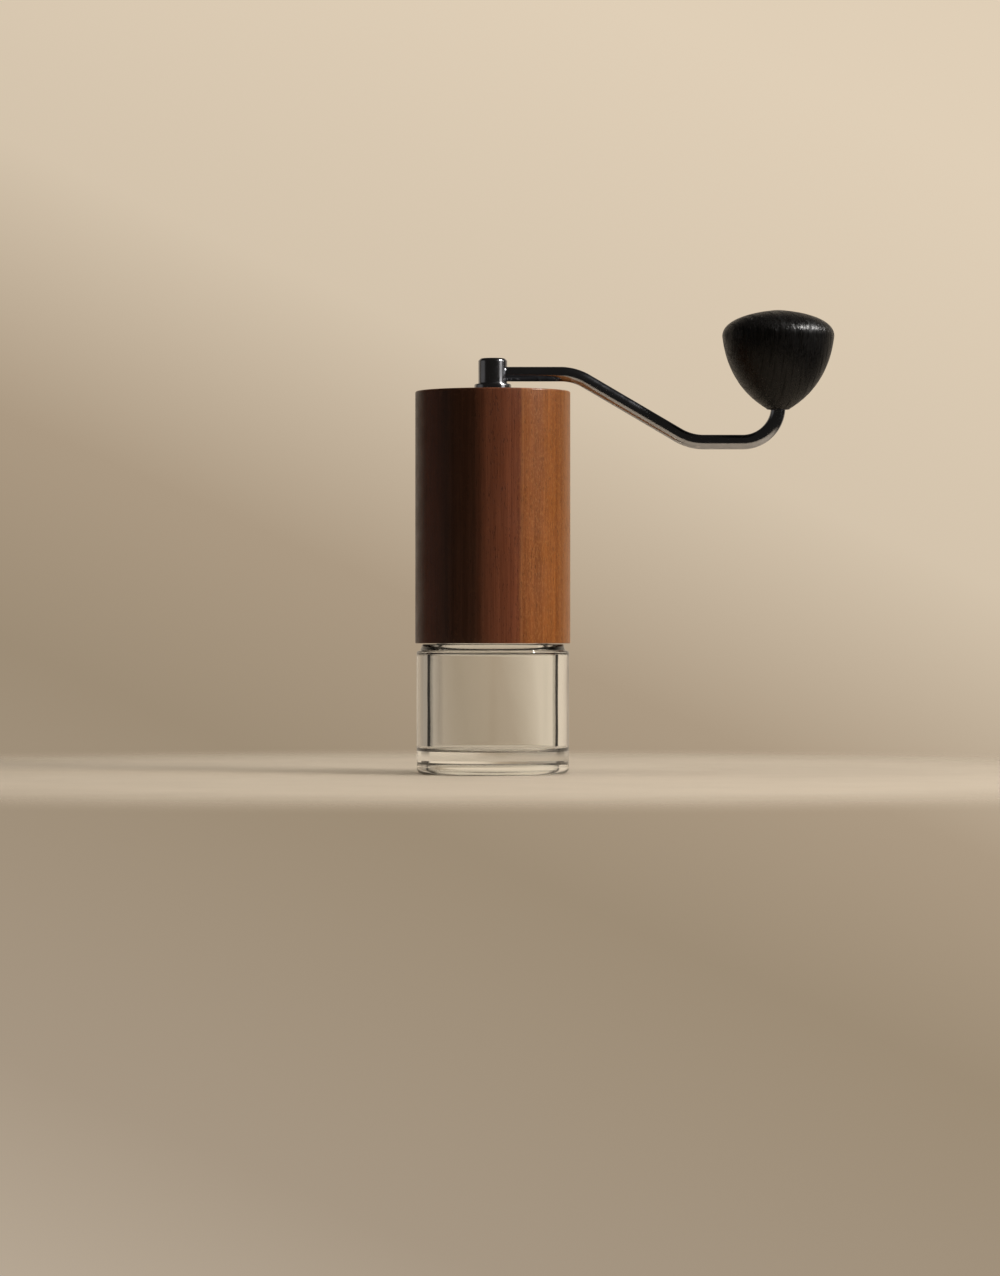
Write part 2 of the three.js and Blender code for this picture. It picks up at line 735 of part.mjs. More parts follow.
function spring() {
  const section = new THREE.Shape().absarc(0, 0, SPRING_WIRE_R, 0, 2 * Math.PI, false);
  return new THREE.ExtrudeGeometry(section, {
    extrudePath: new CoilPath(springR, springH, SPRING_COILS),
    steps: SPRING_COILS * 12,
    curveSegments: 3,
    bevelEnabled: false,
  });
}

// ---------------------------------------------------------------- crank

function hub() {
  const at = (z) => z - hubBottom;
  const blank = turned([
    [0, 0],
    [hubR, 0],
    [hubR, at(sleeveTop)],
    [hubR + FLANGE_RIM, at(sleeveTop)],
    [hubR + FLANGE_RIM, at(sleeveTop + FLANGE_H), 0.5],
    [hubR, at(sleeveTop + FLANGE_H)],
    [hubR, at(hubTop) - HUB_CHAMFER],
    [hubR - HUB_CHAMFER, at(hubTop)],
    [0, at(hubTop)],
  ], 24);
  const socket = new THREE.CylinderGeometry(
    SHAFT_R + CLOSE_GAP, SHAFT_R + CLOSE_GAP, at(socketTop) + 1, 6,
  ).rotateX(Math.PI / 2).translate(0, 0, (at(socketTop) - 1) / 2);
  const bore = rod(rodBore, hubR + 2, 16)
    .rotateY(Math.PI / 2)
    .translate(-rodInset - SEAT_GAP, 0, at(rodZ));
  const screwHole = rod(GRUB_R + CLOSE_GAP, 2 * HUB_OVER_ROD, 16).translate(0, 0, at(rodZ));
  const clipGroove = groove(hubR, CLIP_H + 2 * CLOSE_GAP)
    .translate(0, 0, at(lidClipZ - CLOSE_GAP));
  return cut(blank, socket, bore, screwHole, clipGroove);
}

// The rod's inner end lies under the grub screw, a little past the hub's axis.
const rodInset = GRUB_R - 0.6;

function crankRod() {
  const path = new BentPath([
    [-rodInset, rodZ],
    [elbowX, rodZ, ARM_BEND_R],
    [kneeX, armZ, ARM_BEND_R],
    [knobX, armZ, ARM_END_BEND_R],
    [knobX, rodEndZ],
  ]);
  const section = new THREE.Shape().absarc(0, 0, ROD_R, 0, 2 * Math.PI, false);
  const bar = new THREE.ExtrudeGeometry(section, {
    extrudePath: path, steps: path.steps, curveSegments: 6, bevelEnabled: false,
  });
  const clipGroove = groove(ROD_R, CLIP_H + 2 * CLOSE_GAP)
    .translate(knobX, 0, knobClipZ - CLOSE_GAP);
  return cut(bar, clipGroove);
}

const grubBottom = rodZ + ROD_R + CLOSE_GAP;
const grubH = hubTop - 0.5 - grubBottom;

function grubScrew() {
  const key = new THREE.CylinderGeometry(GRUB_KEY_R, GRUB_KEY_R, grubH, 6)
    .rotateX(Math.PI / 2)
    .translate(0, 0, grubH);
  return cut(rod(GRUB_R, grubH, 16), key);
}

// ---------------------------------------------------------------- lid

const lidHole = hubR + SEAT_GAP;
const lidSealR = insertR + SEAT_GAP / 2 - LID_SEAL_WIRE_R;

// A plate with a skirt, and a groove round the skirt for its seal.
function lid() {
  const grooveHalf = LID_SEAL_WIRE_R + CLOSE_GAP;
  const grooveR = lidSealR - grooveHalf;
  const sealZ = LID_H / 2;
  return turned([
    [insertR - LID_SKIRT, 0],
    [insertR, 0],
    [insertR, sealZ - grooveHalf],
    [grooveR, sealZ - grooveHalf],
    [grooveR, sealZ + grooveHalf],
    [insertR, sealZ + grooveHalf],
    [insertR, LID_H, 0.5],
    [lidHole, LID_H],
    [lidHole, LID_H - LID_PLATE],
    [insertR - LID_SKIRT, LID_H - LID_PLATE],
  ]);
}

function lidSeal() {
  return new THREE.TorusGeometry(lidSealR, LID_SEAL_WIRE_R, 6, ROUND);
}

// ---------------------------------------------------------------- knob

// A top-like knob: a flank that swells from its foot, a rounded shoulder and a shallow dome.
function knob() {
  const path = new THREE.Path();
  path.moveTo(knobBore + KNOB_FOOT_RIM, 0);
  for (const curve of [[...KNOB_FLANK, [1, KNOB_SHOULDER]], KNOB_DOME]) {
    path.bezierCurveTo(...curve.flatMap(([r, z]) => [r * KNOB_R, z * KNOB_H]));
  }
  const skinPoints = path.getPoints(KNOB_CURVE_STEPS);
  const bore = [
    new THREE.Vector2(0, knobBoreH),
    new THREE.Vector2(knobBore, knobBoreH),
    new THREE.Vector2(knobBore, 0),
  ];
  return new THREE.LatheGeometry([...bore, ...skinPoints], ROUND).rotateX(Math.PI / 2);
}

function knobBush() {
  return ring(bushBore, bushR, KNOB_BUSH_H, SMALL_ROUND);
}

// ---------------------------------------------------------------- assembly

add('jar', jar(), glass);
add('jar_seal', jarSeal(), silicone, sealBottom);

add('wood_sleeve', sleeve(), wood, sleeveBottom);
add(
  'inner_shell',
  ring(shellBore, shellR, SLEEVE_H - 2 * SHELL_INSET),
  brightSteel,
  sleeveBottom + SHELL_INSET,
);
add('threaded_collar', collar(), satinAluminium, collarBottom);
add('burr_retaining_ring', retainer(), satinAluminium, retainerBottom);
for (let i = 0; i < SCREWS; i++) {
  const screw = burrScrew().translate(screwCircle, 0, 0).rotateZ((i * 2 * Math.PI) / SCREWS);
  add(`burr_screw_${i + 1}`, screw, burrSteel, retainerBottom);
}
add('burr_carrier', carrier(), satinAluminium, burrBottom);
add('outer_burr', outerBurr(), burrSteel, burrBottom);

const bridges = [['lower', lowerBridgeBottom], ['upper', upperBridgeBottom]];
for (const [place, z] of bridges) {
  add(`${place}_bridge`, bridge(), satinAluminium, z);
  add(`${place}_bearing_outer_race`, outerRace(), brightSteel, z + bearingLift);
  add(`${place}_bearing_balls`, cagedBalls(), burrSteel, z + bearingLift);
  add(`${place}_bearing_inner_race`, innerRace(), brightSteel, z + bearingLift);
}

add('drive_shaft', shaft(), brightSteel, shaftBottom);
add('dial_end_clip', shaftClip(), burrSteel, dialClipZ);
add('lower_shaft_clip', shaftClip(), burrSteel, lowerClipZ);
add('upper_shaft_clip', shaftClip(), burrSteel, upperClipZ);
add('spring_washer', ring(raceBore, innerRaceR, WASHER_H, SMALL_ROUND), brightSteel, washerBottom);
add('burr_spring', spring(), burrSteel, springBottom);

add('inner_burr', innerBurr(), burrSteel, coneBottom);
add('click_plate', clickPlate(), brightSteel, clickBottom);
for (let i = 0; i < DETENTS; i++) {
  add(`detent_ball_${i + 1}`, detentBall(i), brightSteel, clickBottom);
}
add('adjusting_dial', dial(), blackPlastic, dialBottom);

add('crank_hub', hub(), darkSteel, hubBottom);
add('crank_rod', crankRod(), darkSteel);
add('rod_grub_screw', grubScrew(), burrSteel, grubBottom);
add('lid_clip', snapRing(hubR - GROOVE + SEAT_GAP, hubR + CLIP_RING, CLIP_H), burrSteel, lidClipZ);
add('lid', lid(), blackPlastic, lidBottom);
add('lid_seal', lidSeal(), silicone, lidBottom + LID_H / 2);

const knobGroup = new THREE.Group();
knobGroup.position.x = knobX;
parts.add(knobGroup);
add('knob', knob(), blackWood, knobZ, knobGroup);
add('knob_bush', knobBush(), bronze, knobBushZ, knobGroup);
add(
  'knob_snap_ring',
  snapRing(ROD_R - GROOVE + SEAT_GAP, bushR - CLOSE_GAP, CLIP_H),
  burrSteel,
  knobClipZ,
  knobGroup,
);

export default parts;
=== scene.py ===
# %% [markdown]
# # A hand crank coffee grinder
#
# A glass jar screws into a grinding body in a wooden sleeve, and a bent steel crank with a turned
# wooden knob drives the burrs. The solids that fix every size and joint are loaded first. This
# script then gives the object its looks: each piece that can be seen is built again as a fine
# surface in exactly the same place, and each finish is a procedural material.
#
# Almost every piece here was turned on a lathe or bent from a bar, so two formulas make nearly all
# of them: an outline carried round an axis, and a round section carried along a path.

# %% Load the frame
import json

import bpy
import numpy as np
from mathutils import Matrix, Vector


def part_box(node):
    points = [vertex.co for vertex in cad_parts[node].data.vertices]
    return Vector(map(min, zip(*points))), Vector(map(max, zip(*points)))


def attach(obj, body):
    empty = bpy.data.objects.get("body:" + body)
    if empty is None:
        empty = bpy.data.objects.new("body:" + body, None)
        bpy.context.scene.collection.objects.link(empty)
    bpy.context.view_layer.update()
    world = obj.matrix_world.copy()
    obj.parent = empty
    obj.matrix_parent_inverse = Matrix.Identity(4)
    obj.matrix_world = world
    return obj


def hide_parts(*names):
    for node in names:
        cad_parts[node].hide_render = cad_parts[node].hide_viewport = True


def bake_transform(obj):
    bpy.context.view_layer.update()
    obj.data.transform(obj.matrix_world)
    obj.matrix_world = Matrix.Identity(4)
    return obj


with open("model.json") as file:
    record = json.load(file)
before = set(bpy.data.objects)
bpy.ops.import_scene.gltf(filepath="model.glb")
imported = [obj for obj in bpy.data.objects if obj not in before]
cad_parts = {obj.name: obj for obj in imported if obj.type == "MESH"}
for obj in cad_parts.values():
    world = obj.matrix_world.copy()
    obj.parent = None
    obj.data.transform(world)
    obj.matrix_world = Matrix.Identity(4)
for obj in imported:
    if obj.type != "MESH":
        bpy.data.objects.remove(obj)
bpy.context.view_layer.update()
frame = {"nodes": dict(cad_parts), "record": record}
MM = 0.001
print("solids in the frame:", len(frame["nodes"]))

# %% [markdown]
# ## Sizes
#
# Every place comes from the box of a solid, so this model can't drift away from the frame. Only
# what a box can't tell, such as a wall's thickness or the rounding of an edge, is a number here.

# %% Measure the solids


def extent(node):
    """Lowest and highest height, and the outer radius across Y, of a solid."""
    low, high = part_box(node)
    return low.z, high.z, (high.y - low.y) / 2


def extent_mm(node):
    """The same in millimetres."""
    return [value / MM for value in extent(node)]


_, jar_high, jar_r = extent("jar")
sleeve_low, sleeve_high, sleeve_r = extent("wood_sleeve")
_, _, shell_r = extent("inner_shell")
hub_low, hub_high, hub_flange_r = extent("crank_hub")
lid_low, lid_high, lid_r = extent("lid")
knob_low, knob_high, knob_r = extent("knob")
_, rod_high, rod_r = extent("crank_rod")
knob_x = sum(corner.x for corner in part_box("knob")) / 2
print("sleeve radius", round(sleeve_r / MM, 2), "mm, crank radius", round(knob_x / MM, 2), "mm")

# %% [markdown]
# ## Surfaces from two parameters
#
# A surface is a grid of points: one parameter runs along an outline or a path, the other runs
# round. Numpy works out all the points at once, and the faces join each point to its neighbours.
# Where an outline starts and ends on the axis, its end rows are one point each, the poles.

# %% Grids into meshes


def grid_faces(rows, columns, closed_rows, start=0):
    """Four-sided faces of a grid whose columns close on themselves, and its rows too if asked."""
    index = start + np.arange(rows * columns).reshape(rows, columns)
    index = np.hstack([index, index[:, :1]])
    if closed_rows:
        index = np.vstack([index, index[:1]])
    corners = [index[:-1, :-1], index[:-1, 1:], index[1:, 1:], index[1:, :-1]]
    return np.stack(corners, axis=-1).reshape(-1, 4).tolist()


def shell_of(grid, ends):
    """Points and faces of one closed surface. Ends is 'loop', or 'poles', which closes each end
    of the grid with a fan to the mean of its last row."""
    rows, columns = grid.shape[:2]
    points = grid.reshape(-1, 3)
    faces = grid_faces(rows, columns, ends == "loop")
    if ends == "poles":
        around = np.arange(columns)
        following = np.roll(around, -1)
        last = (rows - 1) * columns
        first_pole, last_pole = len(points), len(points) + 1
        points = np.vstack([points, grid[0].mean(axis=0), grid[-1].mean(axis=0)])
        low = np.stack([following, around, np.full(columns, first_pole)], axis=-1)
        high = np.stack([last + around, last + following, np.full(columns, last_pole)], axis=-1)
        faces += low.tolist() + high.tolist()
    return points, faces


made_pieces = []


def piece(name, *shells, body, node, slot, sharp=35):
    """One object from one or more closed surfaces, riding on a body in place of its solid. A piece
    given no body rides on none."""
    points, faces = [], []
    for shell_points, shell_faces in shells:
        start = sum(len(p) for p in points)
        points.append(shell_points)
        faces += [[start + i for i in face] for face in shell_faces]
    mesh = bpy.data.meshes.new(name)
    mesh.from_pydata(np.vstack(points).tolist(), [], faces)
    mesh.shade_smooth()
    mesh.set_sharp_from_angle(angle=np.radians(sharp))
    made = bpy.data.objects.new(name, mesh)
    bpy.context.scene.collection.objects.link(made)
    if body:
        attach(made, body)
    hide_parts(node)
    made_pieces.append((made, slot))
    print(f"{name}: {len(mesh.polygons)} faces")
    return made


# %% [markdown]
# ## Turned pieces
#
# A lathe cuts an outline that is the same all round. Real edges are never sharp, so each corner
# of an outline may be rounded: the arc starts at a given distance before the corner and ends as
# far after it. An edge that catches the light is what makes small turned pieces look real.

# %% Outlines and turning


def outline(corners, steps=6):
    """Corners are (radius, height) or (radius, height, rounding), in mm. For the directions u and v
    from a corner to its neighbours, the arc is corner + t (u (1 - sin a) + v (1 - cos a))."""
    points = np.array([c[:2] for c in corners], float)
    rounding = np.array([c[2] if len(c) > 2 else 0 for c in corners], float)
    back = np.roll(points, 1, axis=0) - points
    ahead = np.roll(points, -1, axis=0) - points
    back /= np.maximum(np.linalg.norm(back, axis=1, keepdims=True), 1e-9)
    ahead /= np.maximum(np.linalg.norm(ahead, axis=1, keepdims=True), 1e-9)
    angle = np.linspace(0, np.pi / 2, steps)[:, None]
    arcs = [
        p + t * (u * (1 - np.sin(angle)) + v * (1 - np.cos(angle))) if t else p[None]
        for p, t, u, v in zip(points, rounding, back, ahead)
    ]
    return np.vstack(arcs) * MM


def fine(line, step):
    """The same outline with its long straight runs cut into steps, in mm."""
    lengths = np.linalg.norm(np.diff(line, axis=0), axis=1)
    counts = np.maximum(1, np.ceil(lengths / (step * MM))).astype(int)
    runs = [
        a + (b - a) * (np.arange(n) / n)[:, None] for a, b, n in zip(line[:-1], line[1:], counts)
    ]
    return np.vstack(runs + [line[-1:]])


def fine_loop(line, step):
    """The same for an outline that runs back to its own first point."""
    return fine(np.vstack([line, line[:1]]), step)[:-1]


def turned(line, sides=160, centre=(0, 0), shape=None):
    """x = r cos t, y = r sin t, z = z, for t all the way round. Shape may change r by (r, z, t)."""
    t = np.linspace(0, 2 * np.pi, sides, endpoint=False)[None, :]
    r, z = line[:, :1] + 0 * t, line[:, 1:] + 0 * t
    if shape:
        r = shape(r, z, t + 0 * r)
    grid = np.stack([centre[0] + r * np.cos(t), centre[1] + r * np.sin(t), z], axis=-1)
    on_axis = line[0, 0] < 1e-9 and line[-1, 0] < 1e-9
    return shell_of(grid[1:-1] if on_axis else grid, "poles" if on_axis else "loop")


def ring_outline(bore, radius, low, high, rounding=0.15):
    """The outline of a plain ring, anticlockwise, in mm."""
    corners = [(bore, low), (radius, low), (radius, high), (bore, high)]
    return outline([(*c, rounding) for c in corners])


# %% [markdown]
# ## Bars along a path
#
# The crank is one round bar, bent cold in a single plane. Its centre line is straight runs joined
# by arcs. At each point of the line a circle stands square to it, and the circles make the skin.

# %% Bent bars


def bent_line(corners, steps=20):
    """A line in the plane y = 0 through (x, z, bend radius) corners, in mm. Each arc touches both
    runs at radius / tan(half the angle between them)."""
    points = np.array([c[:2] for c in corners], float)
    runs = [points[:1]]
    for (x, z, radius), before, after in zip(corners[1:-1], points[:-2], points[2:]):
        here = np.array([x, z])
        u = (before - here) / np.linalg.norm(before - here)
        v = (after - here) / np.linalg.norm(after - here)
        half = np.arccos(np.clip(u @ v, -1, 1)) / 2
        centre = here + (u + v) / np.linalg.norm(u + v) * radius / np.sin(half)
        start = here + u * radius / np.tan(half) - centre
        turn = (np.pi - 2 * half) * np.sign(u[1] * v[0] - u[0] * v[1])
        a = np.linspace(0, turn, steps)[:, None]
        quarter = np.array([-start[1], start[0]])
        runs.append(centre + start * np.cos(a) + quarter * np.sin(a))
    runs.append(points[-1:])
    return np.vstack(runs) * MM


def round_bar(line, radius, sides=48, rounding=0.4):
    """Point = line + radius (cos a N + sin a Y), with N square to the line in its own plane. Both
    ends are rounded off by a quarter circle."""
    along = np.gradient(line, axis=0)
    along /= np.linalg.norm(along, axis=1, keepdims=True)
    q = np.linspace(0, np.pi / 2, 5)[:, None]
    inset, reach = rounding * MM * (1 - np.sin(q)), rounding * MM * (1 - np.cos(q))
    first = line[0] + along[0] * reach
    last = line[-1] - along[-1] * reach[::-1]
    centres = np.vstack([first, line[1:-1], last])
    tangents = np.vstack([along[:1].repeat(5, 0), along[1:-1], along[-1:].repeat(5, 0)])
    radii = np.vstack([radius - inset, np.full((len(line) - 2, 1), radius), radius - inset[::-1]])
    a = np.linspace(0, 2 * np.pi, sides, endpoint=False)[None, :]
    x = centres[:, :1] + radii * np.cos(a) * tangents[:, 1:]
    z = centres[:, 1:] - radii * np.cos(a) * tangents[:, :1]
    return shell_of(np.stack([x, radii * np.sin(a), z], axis=-1)[:, ::-1], "poles")


# %% [markdown]
# ## The jar
#
# The jar is pressed glass: a thick floor and wall, a shoulder, a band that the body sits on, and a
# neck with a coarse thread. Glass shows both its faces at once, so the inside matters as much as
# the outside. The thread could be a separate ridge, but then light would bend at a hidden joint.
# Here it is part of the same skin: the neck's radius swells where the thread's helix passes.

# %% Jar
PITCH = 3.0
THREAD_LOW, THREAD_TURNS, THREAD_DEPTH = 50.55, 1.75, 1.0
CREST_HALF, ROOT_HALF = 0.35, 0.8
JAR_WALL, JAR_FLOOR, SHOULDER, BAND_TOP = 5.0, 8.3, 45.8, 48.3
NECK_R, NECK_BORE, FOOT_RING = 20.9, 17.9, 4.2


def ridge(z, t, low, turns, crest=CREST_HALF, root=ROOT_HALF):
    """How much of the thread's depth stands at a height and an angle: 1 on its crest, falling to 0
    across its flanks. The helix nearest in height counts, and it fades in and out at its ends."""
    way = (z / MM - low) / PITCH - t / (2 * np.pi)
    turn = t / (2 * np.pi) + np.round(way)
    off = np.abs(z / MM - low - PITCH * turn)
    flank = np.clip((root - off) / (root - crest), 0, 1)
    fade = np.clip(np.minimum(turn, turns - turn) * 8, 0, 1)
    return flank * fade


def threaded_neck(r, z, t):
    on_neck = (r > (NECK_R - 0.01) * MM) & (z > (BAND_TOP + 0.6) * MM)
    return r + np.where(on_neck, THREAD_DEPTH * MM * ridge(z, t, THREAD_LOW, THREAD_TURNS), 0)


wall_in = jar_r / MM - JAR_WALL
neck_top = jar_high / MM
jar_line = outline(
    [
        (0, FOOT_RING),
        (jar_r / MM - FOOT_RING, FOOT_RING, 1.0),
        (jar_r / MM - FOOT_RING, 0.0, 0.8),
        (jar_r / MM, 0.0, 2.0),
        (jar_r / MM, SHOULDER, 0.8),
        (27.3, SHOULDER, 0.35),
        (26.4, BAND_TOP, 0.5),
        (NECK_R, BAND_TOP, 0.4),
        (NECK_R, neck_top, 0.6),
        (NECK_BORE, neck_top, 0.6),
        (NECK_BORE, SHOULDER - 0.6, 0.5),
        (wall_in, SHOULDER - 0.6, 0.9),
        (wall_in, JAR_FLOOR, 1.5),
        (14, JAR_FLOOR + 0.05, 3),
        (0, JAR_FLOOR + 0.35),
    ],
    steps=10,
)
piece(
    "glass_jar",
    turned(fine(jar_line, 0.6), 180, shape=threaded_neck),
    body="jar",
    node="jar",
    slot="glass",
)

# %% [markdown]
# ## The wooden sleeve
#
# The sleeve was turned and bored from one piece of dark streaked hardwood. It is a tube with a
# softly rounded upper rim, where a thumb runs over it, and a tight edge at the jar.

# %% Sleeve
SLEEVE_WALL = 3.5
sleeve_bore = sleeve_r / MM - SLEEVE_WALL
sleeve_line = outline(
    [
        (sleeve_bore, sleeve_low / MM, 0.3),
        (sleeve_r / MM, sleeve_low / MM, 0.35),
        (sleeve_r / MM, sleeve_high / MM, 0.6),
        (sleeve_bore, sleeve_high / MM, 0.35),
    ],
    steps=9,
)
piece(
    "wooden_sleeve",
    turned(fine(sleeve_line, 4), 192),
    body="body",
    node="wood_sleeve",
    slot="wood",
)

# %% [markdown]
# ## The knob
#
# The knob swells from a narrow foot to a rounded shoulder under a shallow dome. Two Bezier curves
# draw that outline. It is open-grained wood under a black stain: the soft early wood is worn lower
# than the hard late wood, which leaves fine grooves that run straight up through the knob and notch
# its edge against the light. Grooves that deep are real shape, so they move the points: the depth
# at a point is a sum of waves across x and y, and hardly changes with height. The same depth is
# stored on the points, so that the colour can be darker down in the grooves.

# %% Knob
KNOB_SHOULDER = 0.73
KNOB_FOOT = 4.25
KNOB_BORE = 3.75
KNOB_BORE_TOP = 21.7
GROOVE_DEPTH = 0.2


def bezier(a, b, c, d, steps):
    """The cubic curve a (1-s)^3 + 3 b s (1-s)^2 + 3 c s^2 (1-s) + d s^3."""
    s = np.linspace(0, 1, steps)[:, None]
    a, b, c, d = (np.array(p, float) for p in (a, b, c, d))
    return a * (1 - s) ** 3 + 3 * b * s * (1 - s) ** 2 + 3 * c * s**2 * (1 - s) + d * s**3


def year_rings(x, y, z):
    """Narrow valleys along the fibre, from 0 to 1: sharpened waves of two widths across the board,
    each bent a little by a slower wave so that no two are alike."""
    across = x * 0.94 + y * 0.34
    bend = 0.5 * np.sin(y * 0.31 + 1.3) + 0.25 * np.sin(z * 0.11 + x * 0.4)
    wide = np.sin(3.1 * (across + bend) + 0.8 * np.sin(1.7 * across + 2.0))
    narrow = np.sin(8.3 * (across + 0.6 * bend) + 1.5 * np.sin(2.3 * y + 0.5))
    valley = 0.65 * np.clip(wide, 0, 1) ** 4 + 0.35 * np.clip(narrow, 0, 1) ** 3
    return valley * (0.6 + 0.4 * np.sin(0.45 * z + 1.9 * across))


def grained(r, z, t):
    x, y = r / MM * np.cos(t), r / MM * np.sin(t)
    depth = GROOVE_DEPTH * MM * np.clip(year_rings(x, y, z / MM), 0, 1)
    return np.where(r > (KNOB_BORE + 0.2) * MM, r - depth, r)


knob_h = (knob_high - knob_low) / MM
knob_wide = knob_r / MM
knob_waist = knob_wide * 0.997
knob_flank = bezier(
    (KNOB_FOOT, 0.1),
    (knob_wide * 0.24, knob_h * 0.03),
    (knob_wide * 0.89, knob_h * 0.19),
    (knob_waist, knob_h * KNOB_SHOULDER),
    76,
)
knob_dome = bezier(
    (knob_waist, knob_h * KNOB_SHOULDER),
    (knob_waist, knob_h * 0.88),
    (knob_wide * 0.56, knob_h * 0.965),
    (0, knob_h * 0.99),
    84,
)
knob_line = np.vstack(
    [
        [(0, KNOB_BORE_TOP), (KNOB_BORE, KNOB_BORE_TOP), (KNOB_BORE, 0.0)],
        [(KNOB_FOOT - 0.15, 0.0)],
        knob_flank,
        knob_dome[1:],
    ]
)
knob_line = (knob_line + [0, knob_low / MM]) * MM
knob = piece(
    "turned_knob",
    turned(knob_line, 420, centre=(knob_x, 0), shape=grained),
    body="knob",
    node="knob",
    slot="black_wood",
)
own = np.array([v.co for v in knob.data.vertices])
ring_depth = year_rings((own[:, 0] - knob_x) / MM, own[:, 1] / MM, own[:, 2] / MM)
knob.data.attributes.new("groove", "FLOAT", "POINT").data.foreach_set("value", ring_depth)
print("grooves on the knob:", round(float((ring_depth > 0.3).mean()), 2), "of its skin")

# %% [markdown]
# ## The crank
#
# The hub is turned steel with a flange that rests over the lid, and a hexagonal socket underneath
# that fits the shaft. A set screw in its top clamps the rod. The socket is cut by letting the
# radius follow a hexagon instead of a circle wherever the outline is inside the socket.

# %% Hub and rod
SOCKET_R, SOCKET_TOP, SHAFT_HEX_R = 3.6, 145.35, 3.3
HUB_R, HUB_CHAMFER, FLANGE_H, SET_SCREW_R, SET_SCREW_DEPTH = 5.4, 0.9, 2.8, 2.1, 3.1


def hexagon(corner_r, t):
    """Radius of a hexagon: its flat's distance over the cosine of the angle off the flat."""
    off_flat = t % (np.pi / 3) - np.pi / 6
    return corner_r * np.cos(np.pi / 6) / np.cos(off_flat)


def socketed(r, z, t):
    inside = (r <= (SOCKET_R + 0.01) * MM) & (z <= (SOCKET_TOP + 0.01) * MM)
    return np.where(inside, r / (SOCKET_R * MM) * hexagon(SOCKET_R * MM, t), r)


flange_low = sleeve_high / MM
hub_top = hub_high / MM
hub_line = outline(
    [
        (0, SOCKET_TOP),
        (SOCKET_R, SOCKET_TOP),
        (SOCKET_R, hub_low / MM),
        (HUB_R, hub_low / MM, 0.4),
        (HUB_R, flange_low, 0.2),
        (hub_flange_r / MM, flange_low, 0.35),
        (hub_flange_r / MM, flange_low + FLANGE_H, 0.55),
        (HUB_R, flange_low + FLANGE_H, 0.5),
        (HUB_R, hub_top - HUB_CHAMFER, 0.25),
        (HUB_R - HUB_CHAMFER, hub_top, 0.3),
        (SET_SCREW_R, hub_top, 0.2),
        (SET_SCREW_R, hub_top - SET_SCREW_DEPTH),
        (0, hub_top - SET_SCREW_DEPTH),
    ],
    steps=7,
)
piece(
    "crank_hub_turned",
    turned(fine(hub_line, 1.5), 144, shape=socketed),
    body="crank",
    node="crank_hub",
    slot="dark_steel",
)

ROD_DROP, ROD_SLOPE, ROD_LIFT = 25.4, np.radians(30.4), 0.95
ELBOW_OUT, ELBOW_BEND, FOOT_BEND = 1.5, 19, 13.3
rod_z = sleeve_high / MM + FLANGE_H + ROD_LIFT + rod_r / MM
elbow_x = sleeve_r / MM + ELBOW_OUT
knee_x = elbow_x + ROD_DROP / np.tan(ROD_SLOPE)
arm_z = rod_z - ROD_DROP
rod_line = bent_line(
    [
        (0.0, rod_z, 0),
        (elbow_x, rod_z, ELBOW_BEND),
        (knee_x, arm_z, ELBOW_BEND),
        (knob_x / MM, arm_z, FOOT_BEND),
        (knob_x / MM, rod_high / MM, 0),
    ]
)
rod = piece(
    "bent_crank_rod",
    round_bar(rod_line, rod_r, 64),
    body="crank",
    node="crank_rod",
    slot="dark_steel",
)

# %% [markdown]
# ## Inside the sleeve
#
# These pieces show when the lid is off or the jar is unscrewed: the steel hopper wall, the spoked
# bridges with their ball bearings, the shaft, and the aluminium rings that hold the burrs. They
# are turned too, and a few carry a helix, a hexagon or teeth in their radius.

# %% Shell, collar and rings
COLLAR_BORE, CARRIER_BORE, CARRIER_LIP, CARRIER_TOP = 21.2, 19.6, 2.4, 2
SHELL_WALL, GASKET_BORE, THREAD_PLAY = 1.2, 22.2, 0.3


def plain_ring(name, node, bore, body, slot, rounding=0.2, sides=144, centre=(0, 0)):
    """A ring that fills its solid's own height and outer radius."""
    low, high, radius = extent(node)
    line = ring_outline(bore, radius / MM, low / MM, high / MM, rounding)
    return piece(name, turned(line, sides, centre), body=body, node=node, slot=slot)


plain_ring("hopper_wall", "inner_shell", shell_r / MM - SHELL_WALL, "body", "bright_steel", 0.25)
plain_ring("jar_gasket", "jar_seal", GASKET_BORE, "seal", "silicone", 0.35)

collar_low, collar_high, collar_r = extent("threaded_collar")


def nut_thread(r, z, t):
    in_bore = r < (COLLAR_BORE + 0.01) * MM
    low, turns = THREAD_LOW - 2 * PITCH, THREAD_TURNS + 2.5
    groove = ridge(z, t, low, turns, CREST_HALF + THREAD_PLAY, ROOT_HALF + THREAD_PLAY)
    return r + np.where(in_bore, THREAD_DEPTH * MM * groove, 0)


collar_line = ring_outline(COLLAR_BORE, collar_r / MM, collar_low / MM, collar_high / MM, 0.25)
piece(
    "collar_with_thread",
    turned(fine_loop(collar_line, 0.25), 180, shape=nut_thread),
    body="body",
    node="threaded_collar",
    slot="aluminium",
)

carrier_low, carrier_high, carrier_r = extent_mm("burr_carrier")
carrier_line = outline(
    [
        (CARRIER_BORE, carrier_low, 0.15),
        (carrier_r, carrier_low, 0.2),
        (carrier_r, carrier_high, 0.2),
        (CARRIER_BORE - CARRIER_LIP, carrier_high, 0.8),
        (CARRIER_BORE - CARRIER_LIP, carrier_high - CARRIER_TOP, 0.15),
        (CARRIER_BORE, carrier_high - CARRIER_TOP, 0.1),
    ]
)
piece(
    "burr_seat", turned(carrier_line, 144), body="body", node="burr_carrier", slot="aluminium"
)

